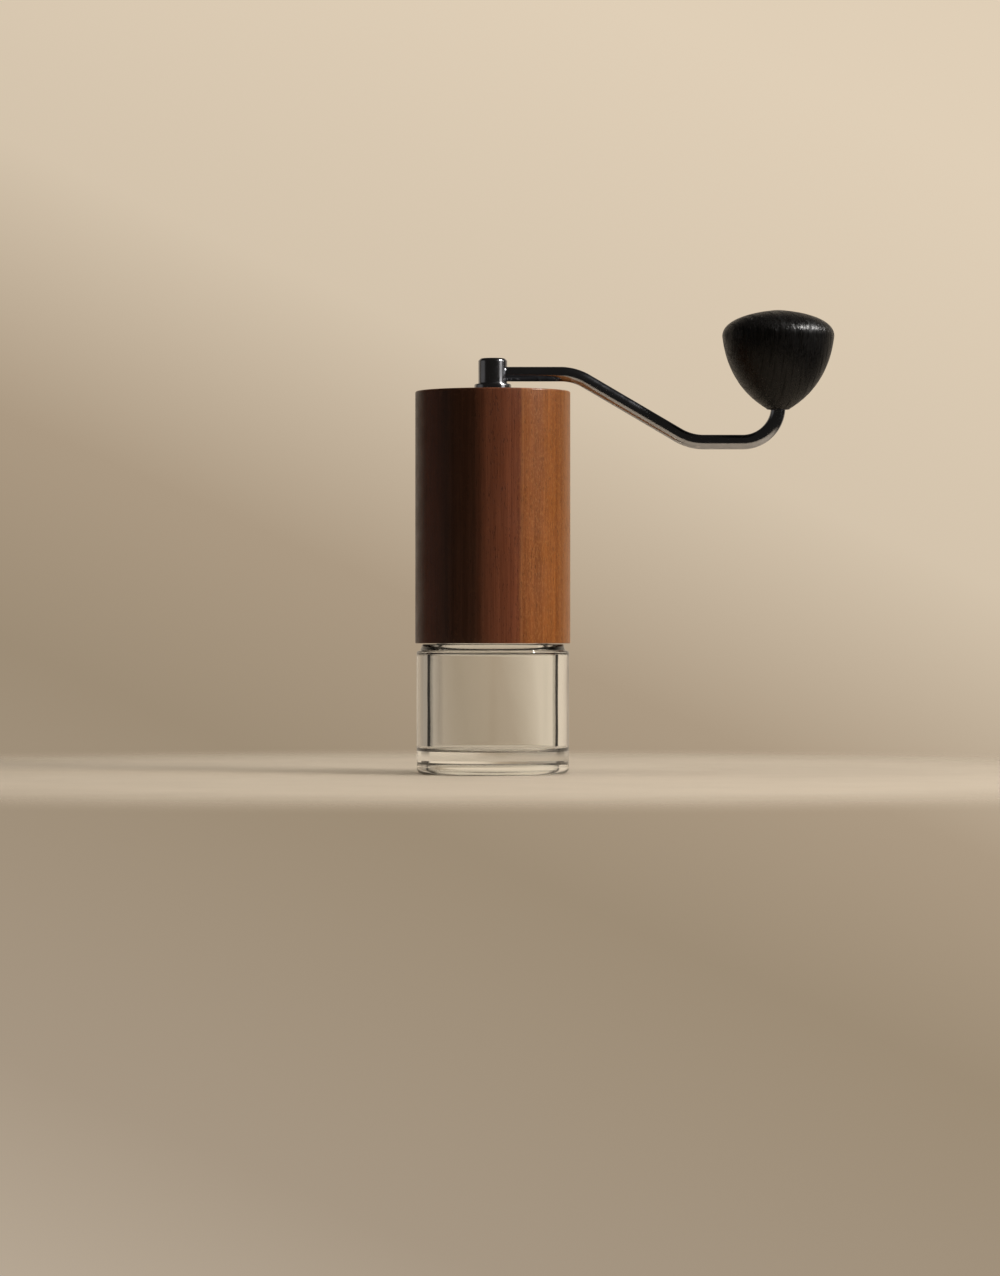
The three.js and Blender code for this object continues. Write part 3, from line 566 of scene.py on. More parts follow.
# %% [markdown]
# ## The bridges and their bearings
#
# Two ball bearings hold the shaft, one in each bridge. A bridge is a rim, a hub and three arms. The
# arms are plain bars with rounded edges, so each is a rounded rectangle carried straight out along
# a ray. Where the surfaces meet they run into each other, as in a casting. A bearing is two rings
# turned with a groove, and balls that are turned too, about an axis of their own.

# %% Bridges
BRIDGE_RIM, BRIDGE_LIP, ARMS, ARM_HALF_W, ARM_H = 1.8, 1.1, 3, 1.8, 4.0
BEARING_R, BEARING_H, RACE_BORE, BALL_R, BALL_PATH = 7.8, 4.0, 3.7, 0.95, 5.75
RACE_GAP, GROOVE_PLAY, CAGE_HALF_W, CAGE_HALF_H = 0.57, 0.08, 0.45, 0.35
HUB_BORE, HUB_OUTER, LIP_BORE = BEARING_R + 0.1, BEARING_R + 2.1, 6.33


def rounded_bar(start, end, half_width, low, high, turn, rounding=0.5):
    """A rounded rectangle, in mm, carried from start to end along the ray at an angle."""
    corners = [(-half_width, low), (half_width, low), (half_width, high), (-half_width, high)]
    section = outline([(*c, rounding) for c in corners], steps=5)
    across, height = section[:, 0], section[:, 1]
    out = np.array([start, start + 0.01, end - 0.01, end])[:, None] * MM
    x = out * np.cos(turn) - across * np.sin(turn)
    y = out * np.sin(turn) + across * np.cos(turn)
    grid = np.stack([x, y, height + 0 * out], axis=-1)
    return shell_of(grid, "poles")


def bridge(name, node):
    low, high, radius = extent_mm(node)
    rim_bore = radius - BRIDGE_RIM
    bearing_low = high - BRIDGE_LIP - 0.3 - BEARING_H
    rim = turned(ring_outline(rim_bore, radius, low, high, 0.3), 144)
    hub_outline = outline(
        [
            (HUB_BORE, bearing_low, 0.2),
            (HUB_OUTER, bearing_low, 0.5),
            (HUB_OUTER, high, 0.9),
            (LIP_BORE, high, 0.2),
            (LIP_BORE, high - BRIDGE_LIP, 0.1),
            (HUB_BORE, high - BRIDGE_LIP, 0.1),
        ]
    )
    arm_high = high - BRIDGE_LIP
    arms = [
        rounded_bar(
            HUB_OUTER - 1,
            rim_bore + 0.9,
            ARM_HALF_W,
            arm_high - ARM_H,
            arm_high,
            k * 2 * np.pi / ARMS,
        )
        for k in range(ARMS)
    ]
    return piece(
        name, rim, turned(hub_outline, 96), *arms, body="body", node=node, slot="aluminium"
    )


bridge("upper_spider", "upper_bridge")
bridge("lower_spider", "lower_bridge")

# %% Ball bearings


def race(name, node, bore, outer, body, groove_side):
    """A ring whose inner or outer face has a round groove: the face steps back from the groove's
    edge by the circle of the ball's own radius."""
    low, high, _ = extent_mm(node)
    middle = (low + high) / 2
    line = fine(ring_outline(bore, outer, low, high, 0.2), 0.2)
    height = line[:, 1] / MM - middle
    reach = np.sqrt(np.clip((BALL_R + GROOVE_PLAY) ** 2 - height**2, 0, None))
    face = outer if groove_side == "out" else bore
    near = np.abs(line[:, 0] / MM - face) < 0.05
    wall = BALL_PATH - reach if groove_side == "out" else BALL_PATH + reach
    nearer = np.minimum if groove_side == "out" else np.maximum
    cut = nearer(line[:, 0] / MM, wall)
    line[:, 0] = np.where(near, cut, line[:, 0] / MM) * MM
    return piece(name, turned(line, 96), body=body, node=node, slot="bright_steel")


def caged_balls(name, node, body, count=6):
    """Balls: x = c + R cos u cos v, y = R cos u sin v, z = R sin u, about each place."""
    low, high, _ = extent_mm(node)
    middle = (low + high) / 2
    u = np.linspace(-np.pi / 2, np.pi / 2, 14)
    half_circle = np.stack([BALL_R * np.cos(u), middle + BALL_R * np.sin(u)], axis=-1) * MM
    half_circle[[0, -1], 0] = 0
    places = np.arange(count) * 2 * np.pi / count
    balls = [
        turned(half_circle, 24, centre=(BALL_PATH * MM * np.cos(a), BALL_PATH * MM * np.sin(a)))
        for a in places
    ]
    cage_low, cage_high = middle - CAGE_HALF_H, middle + CAGE_HALF_H
    cage_in, cage_out = BALL_PATH - CAGE_HALF_W, BALL_PATH + CAGE_HALF_W
    cage = turned(ring_outline(cage_in, cage_out, cage_low, cage_high, 0.1), 96)
    return piece(name, cage, *balls, body=body, node=node, slot="burr_steel")


for place in ("upper", "lower"):
    stem = f"{place}_bearing"
    race(f"{stem}_ring_in", f"{stem}_inner_race", RACE_BORE, BALL_PATH - RACE_GAP, "shaft", "out")
    race(f"{stem}_ring_out", f"{stem}_outer_race", BALL_PATH + RACE_GAP, BEARING_R, "body", "in")
    caged_balls(f"{stem}_balls_in_cage", f"{stem}_balls", f"{place}_balls")

# %% [markdown]
# ## Shaft, clips and washer
#
# The shaft is a bright bar with a hexagonal head and a groove for each clip. A clip is an open
# ring, so it is a rounded rectangle carried most of the way round a circle.

# %% Shaft and clips
SHAFT_R, CLIP_H, CLIP_MOUTH, CLIP_DEPTH = 3.5, 0.8, 1.1, 0.5
CLIP_GRIP, KNOB_CLIP_BORE, BUSH_BORE = 0.2, 2.55, 2.95
shaft_low, shaft_high, _ = extent_mm("drive_shaft")
clip_nodes = {"lower_shaft_clip": "shaft", "upper_shaft_clip": "shaft", "dial_end_clip": "shaft"}
clip_heights = sorted(extent(node)[0] / MM for node in clip_nodes)
hex_low = clip_heights[-1] + 2 * CLIP_H


def hex_head(r, z, t):
    return np.where(z > hex_low * MM, r / (SHAFT_HEX_R * MM) * hexagon(SHAFT_HEX_R * MM, t), r)


shaft_corners = [(0, shaft_low), (SHAFT_R, shaft_low, 0.5)]
for z in clip_heights:
    deep = SHAFT_R - CLIP_DEPTH
    shaft_corners += [(SHAFT_R, z - 0.1), (deep, z - 0.1), (deep, z + 0.9), (SHAFT_R, z + 0.9)]
shaft_corners += [
    (SHAFT_R, hex_low, 0.2),
    (SHAFT_HEX_R, hex_low + 0.05),
    (SHAFT_HEX_R, shaft_high, 0.5),
    (0, shaft_high),
]
piece(
    "drive_shaft_bar",
    turned(fine(outline(shaft_corners), 3), 96, shape=hex_head),
    body="shaft",
    node="drive_shaft",
    slot="bright_steel",
)


def open_ring(name, node, bore, body, centre_x=0.0):
    """A rounded rectangle carried round the axis, but for the ring's mouth on the +X side."""
    low, high, radius = extent_mm(node)
    section = ring_outline(bore, radius, low, high, 0.15)
    t = np.linspace(CLIP_MOUTH / 2, 2 * np.pi - CLIP_MOUTH / 2, 60)[:, None]
    r, z = section[None, :, 0], section[None, :, 1]
    grid = np.stack([centre_x + r * np.cos(t), r * np.sin(t), z + 0 * t], axis=-1)
    return piece(name, shell_of(grid[:, ::-1], "poles"), body=body, node=node, slot="burr_steel")


for node, body_name in clip_nodes.items():
    open_ring(f"{node}_ring", node, SHAFT_R - CLIP_GRIP, body_name)
open_ring("lid_clip_ring", "lid_clip", HUB_R - CLIP_GRIP, "crank")
open_ring("knob_clip_ring", "knob_snap_ring", KNOB_CLIP_BORE, "crank", knob_x)
plain_ring("thrust_washer", "spring_washer", RACE_BORE, "shaft", "bright_steel", 0.15, 64)
plain_ring("knob_bearing", "knob_bush", BUSH_BORE, "knob", "bronze", 0.12, 64, (knob_x, 0))

# %% [markdown]
# ## Burr spring
#
# A coil spring presses the inner burr down on its dial. It is one round wire led round a helix
# whose end coils lie nearly flat. When the dial lifts the burr, the coils close up. The solid moves
# with the burr alone; this spring rides on no body, and its points are fixed where they are made.

# %% Burr spring
SPRING_WIRE_R = 0.45
SPRING_COILS = 4
COIL_EASING = 0.15
spring_low, spring_high, spring_r = extent_mm("burr_spring")


def eased(u):
    """6u^5 - 15u^4 + 10u^3, taken a little past both ends, and stretched back to 0 to 1."""
    v = (u + COIL_EASING) / (1 + 2 * COIL_EASING)
    return v**3 * (6 * v**2 - 15 * v + 10)


def coil(low, high, radius, wire, turns, steps=320, sides=20):
    """Point = radius (cos a, sin a) + rise, with a circle of the wire's radius round it, square to
    the helix. The ends are rounded off, as ground wire is."""
    u = np.linspace(0, 1, steps)[:, None]
    a = 2 * np.pi * turns * u
    rise = low + (high - low) * (eased(u) - eased(0)) / (eased(1) - eased(0))
    centre = np.hstack([radius * np.cos(a), radius * np.sin(a), rise])
    tangent = np.gradient(centre, axis=0)
    tangent /= np.linalg.norm(tangent, axis=1, keepdims=True)
    outward = np.hstack([np.cos(a), np.sin(a), 0 * a])
    upward = np.cross(tangent, outward)
    b = np.linspace(0, 2 * np.pi, sides, endpoint=False)[None, :, None]
    end_run = np.clip(np.minimum(u, 1 - u) * (steps - 1) / 5, 0, 1)
    thick = wire * (0.7 + 0.3 * np.sqrt(1 - (1 - end_run) ** 2))[:, :, None]
    ring = thick * (np.cos(b) * outward[:, None] + np.sin(b) * upward[:, None])
    return shell_of((centre[:, None] + ring) * MM, "poles")


spring = piece(
    "burr_coil",
    coil(
        spring_low + SPRING_WIRE_R,
        spring_high - SPRING_WIRE_R,
        spring_r - SPRING_WIRE_R,
        SPRING_WIRE_R,
        SPRING_COILS,
    ),
    body=None,
    node="burr_spring",
    slot="burr_steel",
)
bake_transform(spring)

# %% [markdown]
# ## Burrs
#
# Both burrs are steel cones with slanted teeth, steep on the cutting side. A tooth is a saw wave
# in the angle, wound on by the height, so that the teeth lean. The inner burr has a few deep
# blades near its top that crack the beans and many fine ones near its foot that grind them.

# %% Burrs
TEETH, TWIST, TOOTH = 12, 0.9, 0.8


def saw(phase, steep=0.3):
    """Falls from 1 to 0 over the steep share of each tooth, then climbs back slowly."""
    share = phase % 1
    return np.where(share < steep, 1 - share / steep, (share - steep) / (1 - steep))


cone_low, cone_high, cone_r = extent_mm("inner_burr")
CONE_TOP_R, SEAT_R, SPRING_SEAT = 6.55, 5.15, 6.0


def cone_teeth(r, z, t):
    share = (z / MM - cone_low) / (cone_high - cone_low)
    flank = r > (SEAT_R + 0.6) * MM
    lean = t - TWIST * (z / MM - cone_low) / (cone_high - cone_low)
    coarse = saw(TEETH * lean / (2 * np.pi))
    fine_teeth = saw(3 * TEETH * lean / (2 * np.pi))
    depth = TOOTH * (0.25 * fine_teeth * (1 - share) + coarse * np.clip(0.35 + share, 0, 1))
    return np.where(flank, r - depth * MM, r)


cone_line = outline(
    [
        (SHAFT_R + 0.1, cone_low),
        (cone_r, cone_low, 0.2),
        (CONE_TOP_R + 0.2, cone_high, 0.2),
        (SEAT_R, cone_high, 0.1),
        (SEAT_R, cone_high - SPRING_SEAT),
        (SHAFT_R + 0.1, cone_high - SPRING_SEAT),
    ]
)
piece(
    "cone_burr",
    turned(fine_loop(cone_line, 0.4), 432, shape=cone_teeth),
    body="burr",
    node="inner_burr",
    slot="burr_steel",
    sharp=25,
)

burr_low, burr_high, burr_r = extent_mm("outer_burr")
BURR_MOUTH, BURR_THROAT, THROAT_Z, BURR_FLARE = 17.6, 13.4, 7.44, 15.9


def ring_teeth(r, z, t):
    inside = r < (burr_r - 0.8) * MM
    lean = t - TWIST * (z / MM - burr_low) / (burr_high - burr_low)
    return np.where(inside, r - TOOTH * MM * saw(3 * TEETH * lean / (2 * np.pi)) * 0.7, r)


ring_line = outline(
    [
        (BURR_MOUTH, burr_low, 0.2),
        (burr_r, burr_low, 0.2),
        (burr_r, burr_high, 0.3),
        (BURR_FLARE + 0.8, burr_high, 0.2),
        (BURR_THROAT + 0.8, burr_low + THROAT_Z, 0.3),
    ]
)
piece(
    "ring_burr",
    turned(fine_loop(ring_line, 0.5), 432, shape=ring_teeth),
    body="body",
    node="outer_burr",
    slot="burr_steel",
    sharp=25,
)

# %% [markdown]
# ## Adjusting dial
#
# The dial is gripped by its scalloped edge from below. Twelve hollows are cut out of its rim: the
# radius dips where a circle round the rim passes.

# %% Dial
dial_low, dial_high, dial_r = extent_mm("adjusting_dial")
GRIPS, GRIP_DEPTH = 12, 0.8


def scallops(r, z, t):
    rim = r > (dial_r - 1.2) * MM
    hollow = np.clip(np.cos(GRIPS * t) - 0.1, 0, 1) ** 0.8
    return np.where(rim, r - GRIP_DEPTH * MM * hollow, r)


dial_line = outline(
    [
        (SHAFT_R + 0.2, dial_low + 0.6, 0.2),
        (9.2, dial_low + 0.6, 0.5),
        (9.8, dial_low, 0.3),
        (dial_r, dial_low, 0.9),
        (dial_r, dial_high, 0.5),
        (SHAFT_R + 0.2, dial_high, 0.2),
    ]
)
piece(
    "scalloped_dial",
    turned(fine_loop(dial_line, 0.8), 288, shape=scallops),
    body="dial",
    node="adjusting_dial",
    slot="plastic",
)

# %% [markdown]
# ## Lid
#
# The lid is a moulded plate that turns freely on the hub and plugs the shell. Its top has a shallow
# dish between two raised rings, and a ribbed band that gives the fingers a grip.

# %% Lid
lid_bottom, lid_top, lid_wide = lid_low / MM, lid_high / MM, lid_r / MM
LID_HOLE, LID_SKIRT_BORE, SEAL_GROOVE_R, SEAL_HALF = 5.7, 20.7, 22.35, 0.8
RIBS, RIB_DEPTH = 96, 0.25
lid_middle = (lid_bottom + lid_top) / 2


def rib_heights(shell_data):
    """Lowers a band of the plate's top by a wave round the axis."""
    points, faces = shell_data
    r = np.hypot(points[:, 0], points[:, 1]) / MM
    t = np.arctan2(points[:, 1], points[:, 0])
    band = np.clip((r - 17.3) / 0.4, 0, 1) * np.clip((20.7 - r) / 0.4, 0, 1)
    top = points[:, 2] > (lid_top - 0.6) * MM
    wave = 0.5 - 0.5 * np.cos(RIBS * t)
    points = points.copy()
    points[:, 2] -= np.where(top, RIB_DEPTH * MM * band * wave, 0)
    return points, faces


lid_line = outline(
    [
        (LID_SKIRT_BORE, lid_bottom, 0.3),
        (lid_wide, lid_bottom, 0.4),
        (lid_wide, lid_middle - SEAL_HALF, 0.1),
        (SEAL_GROOVE_R, lid_middle - SEAL_HALF, 0.1),
        (SEAL_GROOVE_R, lid_middle + SEAL_HALF, 0.1),
        (lid_wide, lid_middle + SEAL_HALF, 0.1),
        (lid_wide, lid_top, 0.6),
        (17.0, lid_top, 0.2),
        (16.7, lid_top - 0.35, 0.2),
        (9.5, lid_top - 0.35, 0.3),
        (9.1, lid_top, 0.3),
        (LID_HOLE, lid_top, 0.3),
        (LID_HOLE, lid_top - 2.5, 0.2),
        (LID_SKIRT_BORE, lid_top - 2.5, 0.6),
    ]
)
lid_shell = turned(fine_loop(lid_line, 0.5), 480)
piece("ribbed_lid", rib_heights(lid_shell), body="lid", node="lid", slot="plastic")

O_RING_HALF = 0.69
_, _, o_ring_r = extent_mm("lid_seal")
turn = np.linspace(0, 2 * np.pi, 20, endpoint=False)
o_ring_line = (
    np.stack(
        [
            o_ring_r - O_RING_HALF + O_RING_HALF * np.cos(turn),
            lid_middle + 0.6 * np.sin(turn),
        ],
        axis=-1,
    )
    * MM
)
piece("lid_o_ring", turned(o_ring_line, 144), body="lid", node="lid_seal", slot="silicone")

# %% [markdown]
# # Finishes
#
# A material is a small network of nodes, which Blender works out at every point it draws. Two
# short helpers keep the networks readable: one adds a node and fills its sockets, and one adds a
# sum. All patterns read the piece's own coordinates, in millimetres, so that they sit still on it.

# %% Node helpers


def put(tree, kind, sockets=None, **settings):
    """Adds a node, sets it up, and fills its sockets with values or with other nodes' outputs."""
    made = tree.nodes.new(kind)
    for key, value in settings.items():
        setattr(made, key, value)
    for key, value in (sockets or {}).items():
        if isinstance(value, bpy.types.NodeSocket):
            tree.links.new(value, made.inputs[key])
        else:
            made.inputs[key].default_value = value
    return made


def sum_of(tree, operation, *values, clamp=False):
    """One Math node on up to three values."""
    made = put(tree, "ShaderNodeMath", dict(enumerate(values)), operation=operation)
    made.use_clamp = clamp
    return made.outputs[0]


def stretch(tree, vector, factors):
    """The vector with each axis multiplied by its own factor."""
    made = put(tree, "ShaderNodeVectorMath", {0: vector, 1: factors}, operation="MULTIPLY")
    return made.outputs[0]


def noise(tree, vector, scale, detail=3.0, rough=0.55):
    made = put(
        tree,
        "ShaderNodeTexNoise",
        {"Vector": vector, "Scale": scale, "Detail": detail, "Roughness": rough},
    )
    return made.outputs[0]


def remap(tree, value, low, high, to_low=0.0, to_high=1.0):
    """A smooth step from one range of values to another."""
    made = put(
        tree,
        "ShaderNodeMapRange",
        {"Value": value, "From Min": low, "From Max": high, "To Min": to_low, "To Max": to_high},
        interpolation_type="SMOOTHSTEP",
    )
    return made.outputs[0]


def ramp(tree, value, stops):
    """A colour ramp through (place, (red, green, blue)) stops."""
    made = put(tree, "ShaderNodeValToRGB", {0: value})
    elements = made.color_ramp.elements
    while len(elements) < len(stops):
        elements.new(1.0)
    for element, (place, colour) in zip(elements, stops):
        element.position = place
        element.color = (*colour, 1.0)
    return made.outputs[0]


def blend_colours(tree, factor, first, second, kind="MIX"):
    made = put(tree, "ShaderNodeMix", data_type="RGBA", blend_type=kind)
    for socket, value in ((0, factor), (6, first), (7, second)):
        if isinstance(value, bpy.types.NodeSocket):
            tree.links.new(value, made.inputs[socket])
        else:
            made.inputs[socket].default_value = value if socket == 0 else (*value, 1.0)
    return made.outputs[2]


def group(name, inputs, outputs):
    """An empty node group with named sockets. Inputs maps a name to its default, where None is a
    vector; outputs are all plain values."""
    tree = bpy.data.node_groups.new(name, "ShaderNodeTree")
    for key, default in inputs.items():
        kind = "NodeSocketVector" if default is None else "NodeSocketFloat"
        socket = tree.interface.new_socket(key, in_out="INPUT", socket_type=kind)
        if default is not None:
            socket.default_value = default
    for key in outputs:
        tree.interface.new_socket(key, in_out="OUTPUT", socket_type="NodeSocketFloat")
    return tree, put(tree, "NodeGroupInput").outputs, put(tree, "NodeGroupOutput").inputs


def use(tree, made_group, sockets):
    """Places a node group in a material, with its own values."""
    made = tree.nodes.new("ShaderNodeGroup")
    made.node_tree = made_group
    for key, value in sockets.items():
        if isinstance(value, bpy.types.NodeSocket):
            tree.links.new(value, made.inputs[key])
        else:
            made.inputs[key].default_value = value
    return made.outputs


# %% [markdown]
# ## Effects that several finishes share
#
# Timber, worn edges, handled surfaces and a lathe's fine lines each turn up in more than one
# finish. Each is made once as a node group, and every material sets it to its own strength.

# %% Timber figure
timber, into, out = group(
    "timber_figure",
    {"Position": None, "Fibre Width": 0.3, "Pore Length": 3.0},
    ["Fibre", "Streaks", "Pores", "Speckle"],
)
fine_scale = sum_of(timber, "DIVIDE", 1.0, into["Fibre Width"])
along_fibre = stretch(timber, into["Position"], (1.0, 1.0, 0.025))
fibre = noise(timber, along_fibre, fine_scale, 4.0, 0.65)
timber.links.new(remap(timber, fibre, 0.28, 0.72), out["Fibre"])
wide_scale = sum_of(timber, "MULTIPLY", fine_scale, 0.22)
along_streak = stretch(timber, into["Position"], (1.0, 1.0, 0.008))
streak = noise(timber, along_streak, wide_scale, 3.0, 0.6)
timber.links.new(remap(timber, streak, 0.36, 0.64), out["Streaks"])
pore_squeeze = sum_of(timber, "DIVIDE", 0.45, into["Pore Length"])
pore_axes = put(timber, "ShaderNodeCombineXYZ", {0: 1.0, 1: 1.0, 2: pore_squeeze}).outputs[0]
pore_place = stretch(timber, into["Position"], pore_axes)
pore_noise = noise(timber, pore_place, 2.6, 2.0, 0.5)
timber.links.new(remap(timber, pore_noise, 0.60, 0.68), out["Pores"])
speckle_place = stretch(timber, into["Position"], (1.0, 1.0, 0.4))
speckle = noise(timber, speckle_place, 1.9, 2.0, 0.7)
timber.links.new(remap(timber, speckle, 0.50, 0.62), out["Speckle"])

# %% Worn edges
worn, into, out = group("worn_edges", {"Position": None, "Reach": 0.04, "Break Up": 0.6}, ["Mask"])
pointed = put(worn, "ShaderNodeNewGeometry").outputs["Pointiness"]
edge = sum_of(worn, "DIVIDE", sum_of(worn, "SUBTRACT", pointed, 0.5), into["Reach"], clamp=True)
patch = remap(worn, noise(worn, into["Position"], 0.7, 4.0), 0.35, 0.65)
broken = sum_of(worn, "MULTIPLY", into["Break Up"], sum_of(worn, "SUBTRACT", 1.0, patch))
worn.links.new(sum_of(worn, "SUBTRACT", edge, broken, clamp=True), out["Mask"])

# %% Handled surface
handled, into, out = group(
    "handled_surface", {"Position": None, "Patch Size": 9.0}, ["Smudge", "Dust"]
)
patch_scale = sum_of(handled, "DIVIDE", 1.0, into["Patch Size"])
smudge = noise(handled, into["Position"], patch_scale, 5.0, 0.6)
handled.links.new(remap(handled, smudge, 0.35, 0.7), out["Smudge"])
dust = noise(handled, into["Position"], 3.1, 2.0, 0.7)
handled.links.new(remap(handled, dust, 0.66, 0.72), out["Dust"])

# %% Turning marks
lathe, into, out = group(
    "turning_marks", {"Position": None, "Axis X": 0.0, "Pitch": 0.25}, ["Height"]
)
place = put(lathe, "ShaderNodeSeparateXYZ", {0: into["Position"]}).outputs
from_axis = sum_of(lathe, "SUBTRACT", place[0], into["Axis X"])
flat_place = put(lathe, "ShaderNodeCombineXYZ", {0: from_axis, 1: place[1]}).outputs[0]
flat_length = put(lathe, "ShaderNodeVectorMath", {0: flat_place}, operation="LENGTH")
radius_out = flat_length.outputs["Value"]
turned_place = put(lathe, "ShaderNodeCombineXYZ", {0: radius_out, 1: place[2]}).outputs[0]
mark_scale = sum_of(lathe, "DIVIDE", 1.0, into["Pitch"])
lathe.links.new(noise(lathe, turned_place, mark_scale, 2.0, 0.5), out["Height"])
print("shared effects:", ", ".join(g.name for g in (timber, worn, handled, lathe)))

# %% [markdown]
# ## A new material
#
# Every finish starts alike: a Principled shader, and the piece's own coordinates turned into
# millimetres.

# %% Start of a material


def begin(name):
    """A material's tree, its Principled shader, and the position in mm."""
    material = bpy.data.materials.new(name)
    material.use_nodes = True
    tree = material.node_tree
    tree.nodes.clear()
    shader = put(tree, "ShaderNodeBsdfPrincipled")
    surface = put(tree, "ShaderNodeOutputMaterial")
    tree.links.new(shader.outputs[0], surface.inputs["Surface"])
    own = put(tree, "ShaderNodeTexCoord").outputs["Object"]
    return material, tree, shader, stretch(tree, own, (1 / MM, 1 / MM, 1 / MM))


def feed(tree, shader, **sockets):
    """Fills the shader's sockets; Base_Color stands for Base Color."""
    for key, value in sockets.items():
        socket = shader.inputs[key.replace("_", " ")]
        if isinstance(value, bpy.types.NodeSocket):
            tree.links.new(value, socket)
        else:
            socket.default_value = (*value, 1.0) if isinstance(value, tuple) else value


def bumped(tree, height, distance, strength=1.0):
    """A normal tilted by a height from 0 to 1, whose full rise is the distance, in mm."""
    made = put(
        tree,
        "ShaderNodeBump",
        {"Height": height, "Distance": distance * MM, "Strength": strength},
    )
    return made.outputs[0]


# %% [markdown]
# ## Streaked hardwood
#
# The sleeve is one block of hardwood, sawn so that its dark heartwood lies on one side and its
# amber sapwood on the other. The colour is therefore a function of the way across the block, with a
# sharp line where the heartwood ends, and it hardly changes with height. That colour also carries
# painted light: part of the darkness on the left is painted shade on the side away from the lamps,
# and the paler colour at the left and right edges is painted rim light. Fibres, pores and a fleck
# across the grain lie over that. A thin satin lacquer covers it, which is the shader's coat.

# %% Streaked hardwood
streaked, tree, shader, spot = begin("streaked_hardwood")
spot_parts = put(tree, "ShaderNodeSeparateXYZ", {0: spot}).outputs
wander_place = stretch(tree, spot, (0.05, 0.05, 0.012))
wander_noise = sum_of(tree, "SUBTRACT", noise(tree, wander_place, 1.0, 2.0), 0.5)
wander = sum_of(tree, "MULTIPLY", wander_noise, 3.0)
band_place = stretch(tree, spot, (0.33, 0.33, 0.006))
band_noise = sum_of(tree, "SUBTRACT", noise(tree, band_place, 1.0, 3.0, 0.6), 0.5)
across = sum_of(tree, "ADD", spot_parts[0], sum_of(tree, "MULTIPLY", spot_parts[1], 0.04))
across = sum_of(tree, "ADD", across, wander)
across = sum_of(tree, "ADD", across, sum_of(tree, "MULTIPLY", band_noise, 2.5))
share = sum_of(tree, "ADD", sum_of(tree, "DIVIDE", across, 60.0), 0.5)
# The darkest colour holds painted shade as well as dark heartwood, and the two edge colours are
# painted rim light at the left and right edges.
PAINTED_LEFT_RIM_LIGHT, DARK_HEART_AND_PAINTED_SHADE = (0.09, 0.025, 0.01), (0.05, 0.02, 0.011)
RED_BROWN, CHESTNUT = (0.15, 0.05, 0.025), (0.20, 0.06, 0.025)
PALE_LINE, GOLDEN = (0.32, 0.12, 0.04), (0.25, 0.08, 0.022)
AMBER, BURNT_AMBER, PAINTED_RIGHT_RIM_LIGHT = (0.33, 0.11, 0.024), (0.26, 0.08, 0.016), (0.36, 0.14, 0.04)
# Colour across the block: dark on the left, partly heartwood and partly painted shade; amber on the
# right; paler at both side edges, which is painted rim light.
tone_shade_and_rim_light = ramp(
    tree,
    share,
    [
        (0.08, PAINTED_LEFT_RIM_LIGHT),
        (0.20, DARK_HEART_AND_PAINTED_SHADE),
        (0.36, DARK_HEART_AND_PAINTED_SHADE),
        (0.47, RED_BROWN),
        (0.65, CHESTNUT),
        (0.665, PALE_LINE),
        (0.68, GOLDEN),
        (0.86, AMBER),
        (0.88, BURNT_AMBER),
        (0.97, PAINTED_RIGHT_RIM_LIGHT),
    ],
)
grain = use(tree, timber, {"Position": spot, "Fibre Width": 0.42, "Pore Length": 2.6})
pale_share = remap(tree, share, 0.6, 0.72)
streaked_tone_and_shade = blend_colours(
    tree, sum_of(tree, "MULTIPLY", grain["Streaks"], 0.5), tone_shade_and_rim_light, (0.55, 0.48, 0.42), "MULTIPLY"
)
shaded = blend_colours(
    tree,
    sum_of(tree, "MULTIPLY", grain["Fibre"], 0.45),
    streaked_tone_and_shade,
    (0.42, 0.36, 0.30),
    "MULTIPLY",
)
fleck = sum_of(tree, "MULTIPLY", sum_of(tree, "MULTIPLY", grain["Speckle"], pale_share), 0.32)
flecked = blend_colours(tree, fleck, shaded, (0.36, 0.16, 0.045))
pored = blend_colours(
    tree, sum_of(tree, "MULTIPLY", grain["Pores"], 0.45), flecked, (0.012, 0.006, 0.003)
)
rubbed = use(tree, worn, {"Position": spot, "Reach": 0.05, "Break Up": 0.8})["Mask"]
wood_colour = blend_colours(tree, sum_of(tree, "MULTIPLY", rubbed, 0.35), pored, (0.30, 0.15, 0.07))
touched = use(tree, handled, {"Position": spot, "Patch Size": 14.0})["Smudge"]
height = sum_of(tree, "SUBTRACT", sum_of(tree, "MULTIPLY", grain["Fibre"], 0.3), grain["Pores"])
feed(
    tree,
    shader,
    Base_Color=wood_colour,
    Roughness=remap(tree, touched, 0.0, 1.0, 0.42, 0.54),
    Specular_IOR_Level=0.15,
    Coat_Weight=remap(tree, grain["Pores"], 0.0, 1.0, 0.3, 0.1),
    Coat_Roughness=0.18,
    Normal=bumped(tree, height, 0.03),
)

# %% [markdown]
# ## Black open-grained wood
#
# The knob is stained black, so only its gloss shows the grain. The grooves are in the mesh. Here
# the colour is darker and the surface rougher down in the grooves, and the late wood between them
# has been polished by hands.

# %% Black wood
stained, tree, shader, spot = begin("black_stained_wood")
grain = use(tree, timber, {"Position": spot, "Fibre Width": 0.5, "Pore Length": 5.0})
groove = put(tree, "ShaderNodeAttribute", attribute_name="groove").outputs["Fac"]
high_wood = blend_colours(tree, grain["Fibre"], (0.0022, 0.0021, 0.0021), (0.0080, 0.0074, 0.0072))
